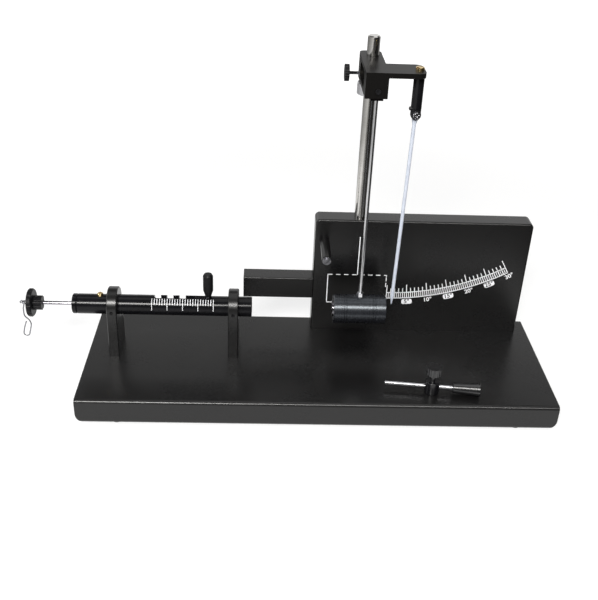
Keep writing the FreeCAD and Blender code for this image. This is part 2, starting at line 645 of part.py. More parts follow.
def make_bob_liner():
    """Bright sleeve in the mouth of the bob, slightly proud of its face."""
    x0 = BOB_LEFT - LINER_PROUD
    x1 = BOB_LEFT + BOB_BORE_DEPTH
    liner = rod_x(BOB_BORE_RADIUS, x0, x1, LAUNCH_Y, AXIS_Z)
    return liner.cut(rod_x(BOB_BORE_RADIUS - LINER_WALL, x0 - OVER, x1 + OVER, LAUNCH_Y, AXIS_Z))


def make_pointer_bar():
    """Round hanger bar under the arm with a forked and rounded foot."""
    r = POINTER_BAR_RADIUS
    top = BLOCK_TOP - ARM_THICKNESS
    bar = rod_z(r, POINTER_Z, top, POINTER_X, POINTER_Y)
    foot = rod_z(r, POINTER_Z - r - OVER, POINTER_Z, POINTER_X, POINTER_Y)
    foot = foot.common(rod_y(r, POINTER_Y - r - OVER, POINTER_Y + r + OVER, POINTER_X, POINTER_Z))
    shoulder = rod_z(POINTER_SHOULDER_RADIUS, top - POINTER_SHOULDER_HEIGHT, top, POINTER_X, POINTER_Y)
    bar = bar.fuse(foot).fuse(shoulder).removeSplitter()
    slot_top = POINTER_Z + NEEDLE_EYE_RADIUS + OVER
    bar = bar.cut(box(POINTER_X - r - OVER, POINTER_X + r + OVER, POINTER_Y - POINTER_SLOT / 2,
                      POINTER_Y + POINTER_SLOT / 2, POINTER_Z - r - OVER, slot_top))
    seat = r - POINTER_WASHER_HEIGHT
    for side in (-1, 1):
        y0 = min(side * seat, side * (r + OVER))
        flat = box(POINTER_X - r - OVER, POINTER_X + r + OVER, POINTER_Y + y0, POINTER_Y + y0 + r + OVER - seat,
                   POINTER_Z - r - OVER, POINTER_Z + POINTER_WASHER_RADIUS + OVER)
        bar = bar.cut(flat)
    bar = bar.cut(rod_y(POINTER_SHANK_RADIUS, POINTER_Y - r - OVER, POINTER_Y + r + OVER, POINTER_X, POINTER_Z))
    return bar.cut(rod_z(ARM_SCREW_RADIUS, BLOCK_TOP - ARM_SCREW_DEPTH, top + OVER, POINTER_X, POINTER_Y))


def make_arm_screw():
    """Brass cheese-head screw through the arm into the hanger bar."""
    shank = rod_z(ARM_SCREW_RADIUS, BLOCK_TOP - ARM_SCREW_DEPTH, BLOCK_TOP, POINTER_X, POINTER_Y)
    top = BLOCK_TOP + ARM_SCREW_HEAD_HEIGHT
    head = rod_z(ARM_SCREW_HEAD_RADIUS, BLOCK_TOP, top, POINTER_X, POINTER_Y)
    rim = edges_where(head, lambda e, m: isinstance(e.Curve, Part.Circle) and m.z > top - OVER)
    head = head.makeChamfer(ARM_SCREW_BEVEL, rim)
    return slotted(shank.fuse(head).removeSplitter(), V(POINTER_X, POINTER_Y, top), Z_DIR, ARM_SCREW_HEAD_RADIUS)


def slotted(screw, face_centre, outward, head_radius):
    """Cut a driver slot across a screw head."""
    width = head_radius * DRIVER_SLOT_WIDTH
    depth = head_radius * DRIVER_SLOT_DEPTH
    cutter = Part.makeBox(2 * head_radius + OVER, width, 2 * depth, V(-head_radius - OVER / 2, -width / 2, -depth))
    turn = FreeCAD.Rotation(Z_DIR, DRIVER_SLOT_TURN_DEG)
    aim = FreeCAD.Rotation(Z_DIR, outward)
    cutter.Placement = FreeCAD.Placement(face_centre, aim.multiply(turn))
    return screw.cut(cutter)


def make_pointer_pivot():
    """Screw through the fork on which the needle turns, with its nut behind."""
    seat = POINTER_BAR_RADIUS - POINTER_WASHER_HEIGHT
    front = POINTER_Y - POINTER_BAR_RADIUS
    back = POINTER_Y + seat
    shank = rod_y(POINTER_SHANK_RADIUS, front, back + POINTER_NUT_HEIGHT, POINTER_X, POINTER_Z)
    head = rod_y(POINTER_HEAD_RADIUS, front - POINTER_HEAD_HEIGHT, front, POINTER_X, POINTER_Z)
    face = front - POINTER_HEAD_HEIGHT
    rim = edges_where(head, lambda e, m: isinstance(e.Curve, Part.Circle) and m.y < face + OVER / 2)
    head = head.makeChamfer(POINTER_HEAD_BEVEL, rim)
    nut = hexagon(POINTER_NUT_RADIUS, POINTER_NUT_HEIGHT, V(POINTER_X, back, POINTER_Z), Y_DIR)
    screw = shank.fuse(head).fuse(nut).removeSplitter()
    return slotted(screw, V(POINTER_X, face, POINTER_Z), Y_DIR * -1, POINTER_HEAD_RADIUS)


def make_pointer_washer():
    """Spring washer that gives the needle its drag."""
    front = POINTER_Y - POINTER_BAR_RADIUS
    washer = rod_y(POINTER_WASHER_RADIUS, front, front + POINTER_WASHER_HEIGHT, POINTER_X, POINTER_Z)
    return washer.cut(rod_y(POINTER_SHANK_RADIUS, front - OVER, front + OVER, POINTER_X, POINTER_Z))


def make_pointer_needle():
    """Needle with a flat eye, a conical shoulder, a long round stem and a fine tip."""
    half = NEEDLE_EYE_THICKNESS / 2
    eye = rod_y(NEEDLE_EYE_RADIUS, POINTER_Y - half, POINTER_Y + half, POINTER_X, POINTER_Z)
    cone_top = POINTER_Z - NEEDLE_CONE_START
    neck = box(POINTER_X - NEEDLE_RADIUS, POINTER_X + NEEDLE_RADIUS, POINTER_Y - half, POINTER_Y + half,
               cone_top - NEEDLE_CONE_LENGTH / 2, POINTER_Z)
    cone = Part.makeCone(NEEDLE_CONE_RADIUS, NEEDLE_RADIUS, NEEDLE_CONE_LENGTH,
                         V(POINTER_X, POINTER_Y, cone_top), Z_DIR * -1)
    tip_start = POINTER_Z - NEEDLE_LENGTH + NEEDLE_TIP_LENGTH
    stem = rod_z(NEEDLE_RADIUS, tip_start, cone_top - NEEDLE_CONE_LENGTH / 2, POINTER_X, POINTER_Y)
    tip = Part.makeCone(NEEDLE_RADIUS, NEEDLE_TIP_RADIUS, NEEDLE_TIP_LENGTH,
                        V(POINTER_X, POINTER_Y, tip_start), Z_DIR * -1)
    needle = eye.fuse(neck).fuse(cone).fuse(stem).fuse(tip).removeSplitter()
    needle = needle.cut(rod_y(POINTER_SHANK_RADIUS + RUNNING_FIT, POINTER_Y - half - OVER,
                              POINTER_Y + half + OVER, POINTER_X, POINTER_Z))
    needle.rotate(V(POINTER_X, POINTER_Y, POINTER_Z), Y_DIR, NEEDLE_LEAN_DEG)
    return needle


def make_stop_post():
    """Sleeve that stands out from the panel and stops the back swing."""
    post = rod_y(POST_RADIUS, POST_FRONT, PANEL_FRONT, POST_X, POST_Z)
    return post.cut(rod_y(POST_SCREW_RADIUS, POST_FRONT - OVER, PANEL_FRONT + OVER, POST_X, POST_Z))


def make_stop_post_screw():
    """Long screw with washer that holds the sleeve to the panel, nut behind the sheet."""
    seat = POST_FRONT - POST_WASHER_HEIGHT
    back = PANEL_FRONT + SHEET
    shank = rod_y(POST_SCREW_RADIUS, seat, back + POST_HEAD_HEIGHT, POST_X, POST_Z)
    washer = rod_y(POST_WASHER_RADIUS, seat, POST_FRONT, POST_X, POST_Z)
    head = rod_y(POST_HEAD_RADIUS, seat - POST_HEAD_HEIGHT, seat, POST_X, POST_Z)
    nut = hexagon(POST_HEAD_RADIUS, POST_HEAD_HEIGHT, V(POST_X, back, POST_Z), Y_DIR)
    screw = shank.fuse(washer).fuse(head).fuse(nut).removeSplitter()
    return slotted(screw, V(POST_X, seat - POST_HEAD_HEIGHT, POST_Z), Y_DIR * -1, POST_HEAD_RADIUS)


def notch_xs():
    """Middles of the latch notches along the barrel."""
    return [HANDLE_X - FIRST_NOTCH_PULL - NOTCH_PITCH * k for k in range(NOTCH_COUNT)]


def make_barrel_tube():
    """Launcher tube with the long bolt slot on top and three latch notches behind it."""
    tube = rod_x(BARREL_RADIUS, BARREL_REAR, MUZZLE_X, LAUNCH_Y, AXIS_Z)
    tube = tube.makeChamfer(MUZZLE_CHAMFER, edges_where(tube, lambda e, m: isinstance(e.Curve, Part.Circle)))
    tube = tube.cut(rod_x(BORE_RADIUS, BARREL_REAR - OVER, MUZZLE_X + OVER, LAUNCH_Y, AXIS_Z))
    rear = notch_xs()[-1]
    half = SLOT_WIDTH / 2
    front = HANDLE_X + SLOT_END_GAP - half
    top = AXIS_Z + BARREL_RADIUS + OVER
    tube = tube.cut(box(rear, front, LAUNCH_Y - half, LAUNCH_Y + half, AXIS_Z, top))
    tube = tube.cut(rod_z(half, AXIS_Z, top, rear, LAUNCH_Y))
    tube = tube.cut(rod_z(half, AXIS_Z, top, front, LAUNCH_Y))
    z_end = AXIS_Z + BARREL_RADIUS * math.cos(math.radians(NOTCH_ANGLE_DEG))
    for x in notch_xs():
        tube = tube.cut(box(x - NOTCH_WIDTH / 2, x + NOTCH_WIDTH / 2, LAUNCH_Y,
                            LAUNCH_Y + BARREL_RADIUS + OVER, z_end, top))
    tube = tube.cut(rod_z(BARREL_SCREW_HEAD_RADIUS, AXIS_Z + BARREL_SCREW_SEAT, top, BARREL_SCREW_X, LAUNCH_Y))
    return tube.cut(rod_z(BARREL_SCREW_RADIUS, AXIS_Z, top, BARREL_SCREW_X, LAUNCH_Y))


def make_barrel_end_cap():
    """Rear cap with a long plug that guides the plunger rod."""
    x0 = BARREL_REAR - CAP_LENGTH
    cap = rod_x(BARREL_RADIUS, x0, BARREL_REAR, LAUNCH_Y, AXIS_Z)
    cap = cap.makeChamfer(MUZZLE_CHAMFER, edges_where(cap, lambda e, m: isinstance(e.Curve, Part.Circle)))
    cap = cap.fuse(rod_x(BORE_RADIUS, BARREL_REAR - OVER, PLUG_FRONT, LAUNCH_Y, AXIS_Z)).removeSplitter()
    cap = cap.cut(rod_x(PLUNGER_RADIUS + RUNNING_FIT, x0 - OVER, PLUG_FRONT + OVER, LAUNCH_Y, AXIS_Z))
    return cap.cut(rod_z(BARREL_SCREW_RADIUS, AXIS_Z + BARREL_SCREW_TIP, AXIS_Z + BARREL_RADIUS,
                         BARREL_SCREW_X, LAUNCH_Y))


def make_barrel_screw():
    """Brass screw through the barrel wall into the plug of the cap."""
    seat = AXIS_Z + BARREL_SCREW_SEAT
    top = seat + BARREL_SCREW_HEAD_HEIGHT
    shank = rod_z(BARREL_SCREW_RADIUS, AXIS_Z + BARREL_SCREW_TIP, seat, BARREL_SCREW_X, LAUNCH_Y)
    head = rod_z(BARREL_SCREW_HEAD_RADIUS, seat, top, BARREL_SCREW_X, LAUNCH_Y)
    rim = edges_where(head, lambda e, m: isinstance(e.Curve, Part.Circle) and m.z > top - OVER)
    head = head.makeChamfer(BARREL_SCREW_BEVEL, rim)
    screw = shank.fuse(head).removeSplitter()
    return slotted(screw, V(BARREL_SCREW_X, LAUNCH_Y, top), Z_DIR, BARREL_SCREW_HEAD_RADIUS)


def make_bracket(x0):
    """Barrel bracket: broad foot, slightly tapered sides and a round top about the bore."""
    half_foot = BRACKET_FOOT_WIDTH / 2
    r = BRACKET_TOP_RADIUS
    a = V(x0, LAUNCH_Y - half_foot, BASE_TOP)
    b = V(x0, LAUNCH_Y + half_foot, BASE_TOP)
    c = V(x0, LAUNCH_Y + r, AXIS_Z)
    d = V(x0, LAUNCH_Y, AXIS_Z + r)
    e = V(x0, LAUNCH_Y - r, AXIS_Z)
    outline = Part.Wire([Part.makeLine(a, b), Part.makeLine(b, c), Part.Arc(c, d, e).toShape(),
                         Part.makeLine(e, a)])
    bracket = Part.Face(outline).extrude(X_DIR * BRACKET_THICKNESS)
    rims = edges_where(bracket, lambda g, m: isinstance(g.Curve, Part.Circle))
    bracket = bracket.makeChamfer(BRACKET_EDGE, rims)
    bracket = bracket.cut(rod_x(BARREL_RADIUS, x0 - OVER, x0 + BRACKET_THICKNESS + OVER, LAUNCH_Y, AXIS_Z))
    middle = x0 + BRACKET_THICKNESS / 2
    bracket = bracket.cut(rod_y(SET_SCREW_RADIUS, LAUNCH_Y - r - OVER, LAUNCH_Y, middle, AXIS_Z))
    for x, y in bracket_screw_points():
        bracket = bracket.cut(rod_z(SCREW_RADIUS, BASE_TOP - OVER, BASE_TOP + SCREW_DEPTH, x, y))
    return bracket


def make_bracket_set_screws():
    """Socket set screws that hold the barrel in the brackets."""
    screws = []
    front = LAUNCH_Y - BRACKET_TOP_RADIUS + BRACKET_EDGE
    for x0 in bracket_xs():
        x = x0 + BRACKET_THICKNESS / 2
        screw = rod_y(SET_SCREW_RADIUS, front, LAUNCH_Y - BARREL_RADIUS, x, AXIS_Z)
        screws.append(screw.cut(hexagon(SET_SCREW_SOCKET_RADIUS, SET_SCREW_RADIUS, V(x, front, AXIS_Z), Y_DIR)))
    return Part.makeCompound(screws)


def make_piston():
    """Bolt that slides in the bore and pushes the ball."""
    r = BORE_RADIUS - PISTON_FIT
    piston = rod_x(r, PISTON_REAR_X, PISTON_FRONT_X, LAUNCH_Y, AXIS_Z)
    piston = piston.makeChamfer(MUZZLE_CHAMFER / 2,
                                edges_where(piston, lambda e, m: isinstance(e.Curve, Part.Circle)))
    piston = piston.cut(rod_x(PLUNGER_RADIUS, PISTON_REAR_X - OVER, PISTON_REAR_X + PLUNGER_IN_PISTON,
                              LAUNCH_Y, AXIS_Z))
    return piston.cut(rod_z(BOLT_PIN_RADIUS, AXIS_Z, AXIS_Z + r + OVER, HANDLE_X, LAUNCH_Y))


def make_plunger_rod():
    """Bright rod from the bolt through the cap to the knob."""
    boss_end = KNOB_FACE_X + KNOB_WIDTH + HUB_BOSS_LENGTH
    return rod_x(PLUNGER_RADIUS, boss_end - PLUNGER_IN_KNOB, PISTON_REAR_X + PLUNGER_IN_PISTON, LAUNCH_Y, AXIS_Z)


def make_bolt_pin():
    """Steel pin that carries the bolt handle through the slot."""
    return rod_z(BOLT_PIN_RADIUS, AXIS_Z, AXIS_Z + BOLT_PIN_HEIGHT, HANDLE_X, LAUNCH_Y)


def make_bolt_grip():
    """Turned grip of the bolt: tapered foot, straight body, bevelled crown."""
    taper = Part.makeCone(GRIP_FOOT_RADIUS, GRIP_RADIUS, GRIP_TAPER_END - GRIP_FOOT,
                          V(HANDLE_X, LAUNCH_Y, AXIS_Z + GRIP_FOOT), Z_DIR)
    shoulder = AXIS_Z + GRIP_TOP - GRIP_DOME
    body = rod_z(GRIP_RADIUS, AXIS_Z + GRIP_TAPER_END, shoulder, HANDLE_X, LAUNCH_Y)
    crown = Part.makeCone(GRIP_RADIUS, GRIP_DOME_FLAT_RADIUS, GRIP_DOME, V(HANDLE_X, LAUNCH_Y, shoulder), Z_DIR)
    grip = taper.fuse(body).fuse(crown).removeSplitter()
    return grip.cut(rod_z(BOLT_PIN_RADIUS, AXIS_Z, AXIS_Z + BOLT_PIN_HEIGHT, HANDLE_X, LAUNCH_Y))


def make_launch_spring():
    """Compression spring between the plug and the bolt, wound of wire with a square section."""
    length = PISTON_REAR_X - PLUG_FRONT - 2 * SPRING_WIRE_RADIUS
    helix = Part.makeHelix(length / SPRING_TURNS, length, SPRING_RADIUS)
    start = helix.Edges[0].valueAt(helix.Edges[0].FirstParameter)
    corners = []
    for k in range(SPRING_WIRE_SIDES + 1):
        angle = 2 * math.pi * (k + 0.5) / SPRING_WIRE_SIDES
        corners.append(start + V(SPRING_WIRE_RADIUS * math.sin(angle), 0, SPRING_WIRE_RADIUS * math.cos(angle)))
    coil = Part.Wire(helix.Edges).makePipeShell([Part.makePolygon(corners)], True, True)
    coil.Placement = FreeCAD.Placement(V(PLUG_FRONT + SPRING_WIRE_RADIUS, LAUNCH_Y, AXIS_Z),
                                       FreeCAD.Rotation(Z_DIR, X_DIR))
    return coil


def make_plunger_knob():
    """Pull knob: fluted disc with a smaller fluted boss."""
    disc = fluted(KNOB_RADIUS, KNOB_WIDTH, KNOB_LOBES, KNOB_LOBE_RADIUS, KNOB_LOBE_DEPTH, KNOB_EDGE,
                  KNOB_FACE_X, LAUNCH_Y, AXIS_Z)
    inner_face = KNOB_FACE_X + KNOB_WIDTH
    boss = fluted(HUB_BOSS_RADIUS, HUB_BOSS_LENGTH + OVER, HUB_BOSS_LOBES, HUB_BOSS_LOBE_RADIUS,
                  HUB_BOSS_LOBE_DEPTH, 0, inner_face - OVER, LAUNCH_Y, AXIS_Z)
    knob = disc.fuse(boss).removeSplitter()
    boss_end = inner_face + HUB_BOSS_LENGTH
    knob = knob.cut(rod_x(PLUNGER_RADIUS, boss_end - PLUNGER_IN_KNOB, boss_end + OVER, LAUNCH_Y, AXIS_Z))
    return knob.cut(rod_x(EYE_SHANK_RADIUS, KNOB_FACE_X - OVER, KNOB_FACE_X + EYE_SHANK_DEPTH, LAUNCH_Y, AXIS_Z))


def make_hook_eye():
    """Screw eye in the face of the knob: wire bent into a level ring."""
    bends = [(EYE_NECK, 0), (EYE_BEND_RADIUS * EYE_SWING, -math.degrees(EYE_SWING)),
             (EYE_RING_RADIUS * math.radians(EYE_LOOP_DEG), EYE_LOOP_DEG)]
    shank = Part.makeCylinder(EYE_SHANK_RADIUS, EYE_SHANK_DEPTH, V(0, 0, 0), X_DIR * -1)
    eye = bent_wire(V(0, 0, 0), 0, bends, EYE_WIRE_RADIUS).fuse(shank)
    eye.rotate(V(0, 0, 0), X_DIR, 90)
    eye.rotate(V(0, 0, 0), Z_DIR, 180)
    eye.translate(V(KNOB_FACE_X, LAUNCH_Y, AXIS_Z))
    return eye


def wire_section(middle, aim, radius):
    """Eight-sided face of a wire that runs along aim in the XZ plane."""
    side = aim.cross(Y_DIR)
    step = 2 * math.pi / WIRE_SIDES
    across = radius / math.cos(step / 2)
    corners = []
    for k in range(WIRE_SIDES + 1):
        angle = (k + 0.5) * step
        corners.append(middle + side * (across * math.cos(angle)) + Y_DIR * (across * math.sin(angle)))
    return Part.Face(Part.makePolygon(corners))


def bent_wire(start, heading_deg, bends, radius):
    """Wire in the XZ plane, bent in turn through (length, turn in degrees) pairs."""
    spot = start
    heading = math.radians(heading_deg)
    pieces = []
    for length, turn_deg in bends:
        aim = V(math.cos(heading), 0, math.sin(heading))
        section = wire_section(spot, aim, radius)
        if turn_deg == 0:
            pieces.append(section.extrude(aim * length))
            spot = spot + aim * length
            continue
        turn = math.radians(turn_deg)
        bend = length / turn
        centre = spot + V(-math.sin(heading), 0, math.cos(heading)) * bend
        pieces.append(section.revolve(centre, Y_DIR, -turn_deg))
        heading += turn
        spot = centre - V(-math.sin(heading), 0, math.cos(heading)) * bend
    return pieces[0].multiFuse(pieces[1:]).removeSplitter()


def make_s_hook():
    """Wire hook that hangs in the eye."""
    angle = math.radians(HOOK_LOOP_START_DEG)
    start = V(HOOK_X + HOOK_LOOP_RADIUS * math.cos(angle), LAUNCH_Y,
              AXIS_Z + HOOK_LOOP_RADIUS * math.sin(angle))
    bends = [(HOOK_LOOP_RADIUS * math.radians(-HOOK_LOOP_TURN_DEG), HOOK_LOOP_TURN_DEG),
             (HOOK_NECK, 0), (HOOK_NECK_BEND, HOOK_NECK_TURN_DEG), (HOOK_DROP, 0),
             (HOOK_SHOULDER, HOOK_SHOULDER_TURN_DEG), (HOOK_BELLY, HOOK_BELLY_TURN_DEG), (HOOK_HEEL, 0),
             (HOOK_TOE, HOOK_TOE_TURN_DEG), (HOOK_TAIL, HOOK_TAIL_TURN_DEG)]
    return bent_wire(start, HOOK_LOOP_START_DEG - 90, bends, HOOK_WIRE_RADIUS)


def make_steel_ball():
    """Steel ball in the bore in front of the bolt."""
    return Part.makeSphere(BALL_RADIUS, V(PISTON_FRONT_X + BALL_RADIUS, LAUNCH_Y, AXIS_Z))


def laid_down(shape):
    """Move a loading-rod piece from its own frame to where the rod lies on the base."""
    shape.rotate(V(0, 0, 0), Z_DIR, RAM_TURN_DEG)
    shape.translate(V(RAM_X, RAM_Y, RAM_Z))
    return shape


def make_ram_rod():
    """Bright loading rod."""
    rod = rod_x(RAM_RADIUS, 0, RAM_LENGTH + RAM_IN_HANDLE, 0, 0)
    end = edges_where(rod, lambda e, m: isinstance(e.Curve, Part.Circle) and m.x < OVER)
    return laid_down(rod.makeChamfer(RAM_BEVEL, end))


def make_ram_handle():
    """Tapered handle of the loading rod."""
    handle = Part.makeCone(RAM_HANDLE_SMALL_RADIUS, RAM_HANDLE_LARGE_RADIUS, RAM_HANDLE_LENGTH,
                           V(RAM_LENGTH, 0, 0), X_DIR)
    end = RAM_LENGTH + RAM_HANDLE_LENGTH
    rim = edges_where(handle, lambda e, m: isinstance(e.Curve, Part.Circle) and m.x > end - OVER)
    handle = handle.makeChamfer(RAM_HANDLE_BEVEL, rim)
    return laid_down(handle.cut(rod_x(RAM_RADIUS, RAM_LENGTH - OVER, RAM_LENGTH + RAM_IN_HANDLE, 0, 0)))


def make_ram_stop():
    """Sliding depth stop on the loading rod."""
    end = RAM_STOP_START + RAM_STOP_LENGTH
    stop = rod_x(RAM_STOP_RADIUS, RAM_STOP_START, end, 0, 0)
    stop = stop.makeChamfer(RAM_BEVEL, edges_where(stop, lambda e, m: isinstance(e.Curve, Part.Circle)))
    stop = stop.cut(rod_x(RAM_RADIUS + RUNNING_FIT, RAM_STOP_START - OVER, end + OVER, 0, 0))
    middle = (RAM_STOP_START + end) / 2
    return laid_down(stop.cut(rod_z(RAM_SCREW_RADIUS + RUNNING_FIT, 0, RAM_STOP_RADIUS + OVER, middle, 0)))


def make_ram_stop_screw():
    """Thumb screw of the depth stop, stem and knurled knob in one piece."""
    middle = RAM_STOP_START + RAM_STOP_LENGTH / 2
    z0 = RAM_STOP_RADIUS + RAM_KNOB_GAP
    knob = fluted(RAM_KNOB_RADIUS, RAM_KNOB_HEIGHT, RAM_KNOB_FLUTES, RAM_KNOB_FLUTE_RADIUS,
                  RAM_KNOB_FLUTE_DEPTH, 0, 0, 0, 0)
    knob.rotate(V(0, 0, 0), Y_DIR, -90)
    knob.translate(V(middle, 0, z0))
    stem = rod_z(RAM_SCREW_RADIUS, RAM_RADIUS + RUNNING_FIT, z0 + OVER, middle, 0)
    return laid_down(knob.fuse(stem).removeSplitter())


PARTS = {
    "base_tray": make_base_tray,
    "rubber_feet": make_rubber_feet,
    "scale_panel": make_scale_panel,
    "panel_side_bar": make_panel_side_bar,
    "base_screws": make_base_screws,
    "column": make_column,
    "column_bolt": make_column_bolt,
    "stop_collar": make_stop_collar,
    "stop_collar_screw": make_stop_collar_screw,
    "pendulum_block": make_pendulum_block,
    "clamp_screw": make_clamp_screw,
    "clamp_knob": make_clamp_knob,
    "pendulum_pivot": make_pendulum_pivot,
    "pendulum_hub": make_pendulum_hub,
    "pendulum_rod": make_pendulum_rod,
    "rod_nut": make_rod_nut,
    "bob": make_bob,
    "bob_liner": make_bob_liner,
    "pointer_bar": make_pointer_bar,
    "arm_screw": make_arm_screw,
    "pointer_pivot": make_pointer_pivot,
    "pointer_washer": make_pointer_washer,
    "pointer_needle": make_pointer_needle,
    "stop_post": make_stop_post,
    "stop_post_screw": make_stop_post_screw,
    "barrel_tube": make_barrel_tube,
    "barrel_end_cap": make_barrel_end_cap,
    "barrel_screw": make_barrel_screw,
    "bracket_left": lambda: make_bracket(LEFT_BRACKET_X),
    "bracket_right": lambda: make_bracket(RIGHT_BRACKET_X),
    "bracket_set_screws": make_bracket_set_screws,
    "piston": make_piston,
    "plunger_rod": make_plunger_rod,
    "bolt_pin": make_bolt_pin,
    "bolt_grip": make_bolt_grip,
    "launch_spring": make_launch_spring,
    "plunger_knob": make_plunger_knob,
    "hook_eye": make_hook_eye,
    "s_hook": make_s_hook,
    "steel_ball": make_steel_ball,
    "ram_rod": make_ram_rod,
    "ram_handle": make_ram_handle,
    "ram_stop": make_ram_stop,
    "ram_stop_screw": make_ram_stop_screw,
}


def main():
    """Build every piece and write it to its own file."""
    os.makedirs("parts", exist_ok=True)
    for name, make in PARTS.items():
        shape = make()
        if not shape.isValid() or shape.Volume <= 0:
            raise ValueError(f"{name} isn't a sound solid")
        shape.exportStep(f"parts/{name}.step")
        print(name, round(shape.Volume, 1), len(shape.Solids))


main()
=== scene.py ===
"""Looks of a ballistic pendulum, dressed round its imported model.

Lengths in the class fields are millimetres unless their names say otherwise. X runs along the
line of fire, Y from the open front to the panel, Z up, and the origin is the middle of the base
footprint on the surface that it stands on.
"""

import logging
import math
from collections.abc import Callable, Iterable, Sequence
from dataclasses import dataclass
from enum import Enum

import bmesh
import bpy
from mathutils import Matrix, Vector


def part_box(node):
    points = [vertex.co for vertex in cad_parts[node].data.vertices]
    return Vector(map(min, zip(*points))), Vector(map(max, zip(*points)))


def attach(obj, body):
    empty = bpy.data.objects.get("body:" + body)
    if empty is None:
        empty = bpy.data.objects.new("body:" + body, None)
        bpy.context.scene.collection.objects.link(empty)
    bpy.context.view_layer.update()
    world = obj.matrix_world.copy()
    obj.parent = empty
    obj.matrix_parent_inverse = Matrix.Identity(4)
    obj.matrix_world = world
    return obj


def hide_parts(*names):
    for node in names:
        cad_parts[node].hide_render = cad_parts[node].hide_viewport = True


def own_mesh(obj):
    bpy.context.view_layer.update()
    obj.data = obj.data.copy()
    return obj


LOG = logging.getLogger("ballistic_pendulum")
MM = 0.001
# Distances, in metres, within which points of a new mesh and of a packed one count as one point
MERGE, PACKED_MERGE = 1e-7, 2e-6
# Turns of an edge, in degrees, up to which faces are joined and past which the shading breaks
FLAT_DEG, SHARP_DEG = 0.6, 40.0
# Weight of the distance from the axis in the noise of lathe marks
RADIAL_WEIGHT = 1.37
# Places of the Mix node's colour sockets
MIX_LOW, MIX_HIGH, MIX_RESULT = 6, 7, 2

Pair = tuple[float, float]
Triple = tuple[float, float, float]
BMesh = bmesh.types.BMesh

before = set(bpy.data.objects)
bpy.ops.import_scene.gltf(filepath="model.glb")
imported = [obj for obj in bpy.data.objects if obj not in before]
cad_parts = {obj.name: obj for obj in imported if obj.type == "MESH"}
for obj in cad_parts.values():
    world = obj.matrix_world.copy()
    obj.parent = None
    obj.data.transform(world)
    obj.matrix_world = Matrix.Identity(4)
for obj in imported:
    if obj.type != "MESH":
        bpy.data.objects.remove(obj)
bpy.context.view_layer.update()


class Axis(Enum):
    """Directions that a turned piece may lie along."""

    X = (1.0, 0.0, 0.0)
    X_BACK = (-1.0, 0.0, 0.0)
    Y = (0.0, 1.0, 0.0)
    Z = (0.0, 0.0, 1.0)

    @property
    def vector(self) -> Vector:
        """Unit vector of the direction."""
        return Vector(self.value)


class Body(Enum):
    """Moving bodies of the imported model."""

    FRAME = "frame"
    COLLAR = "collar"
    BLOCK = "block"
    CLAMP = "clamp"
    PENDULUM = "pendulum"
    POINTER = "pointer"
    PLUNGER = "plunger"
    HOOK = "hook"
    BALL = "ball"
    LOADING_ROD = "loading_rod"
    DEPTH_STOP = "depth_stop"
    DEPTH_STOP_THUMB = "depth_stop_thumb"


class Slot(Enum):
    """Material slots of the record."""

    POWDER_BLACK = "powder_black"
    SATIN_BLACK = "satin_black"
    CHROME = "chrome"
    ZINC = "zinc_steel"
    BRASS = "brass"
    ALUMINIUM = "bare_aluminium"
    BLACK_PLASTIC = "black_plastic"
    WHITE_PLASTIC = "white_plastic"
    RUBBER = "rubber"


# Shader writing


class Sock:
    """One socket of a node tree that takes part in Python expressions."""

    def __init__(self, shade: "Shade", out: bpy.types.NodeSocket) -> None:
        """Keeps the tree and the socket together."""
        self.shade = shade
        self.out = out

    def maths(self, operation: str, *others: "Sock | float") -> "Sock":
        """Math node on this value and the others.

        Args:
            operation: Blender's name of the operation.
            others: Values or sockets of the second and third input.

        Returns:
            The node's result.
        """
        return self.shade.node("ShaderNodeMath", {"operation": operation}, dict(enumerate((self, *others))))

    def __add__(self, other: "Sock | float") -> "Sock":
        """Sum."""
        return self.maths("ADD", other)

    def __radd__(self, other: float) -> "Sock":
        """Sum with a number on the left."""
        return self.maths("ADD", other)

    def __sub__(self, other: "Sock | float") -> "Sock":
        """Difference."""
        return self.maths("SUBTRACT", other)

    def __rsub__(self, other: float) -> "Sock":
        """Difference from a number on the left."""
        return self.shade.node("ShaderNodeMath", {"operation": "SUBTRACT"}, {0: other, 1: self})

    def __mul__(self, other: "Sock | float") -> "Sock":
        """Product."""
        return self.maths("MULTIPLY", other)

    def smooth_step(self, low: float, high: float) -> "Sock":
        """0 below low, 1 above high and a smooth rise between them."""
        return self.shade.node("ShaderNodeMapRange", {"interpolation_type": "SMOOTHSTEP"},
                               {"Value": self, "From Min": low, "From Max": high})

    def between(self, low: float, high: float) -> "Sock":
        """Value spread from 0..1 to low..high, held inside them."""
        return self.shade.node("ShaderNodeMapRange", {}, {"Value": self, "To Min": low, "To Max": high})


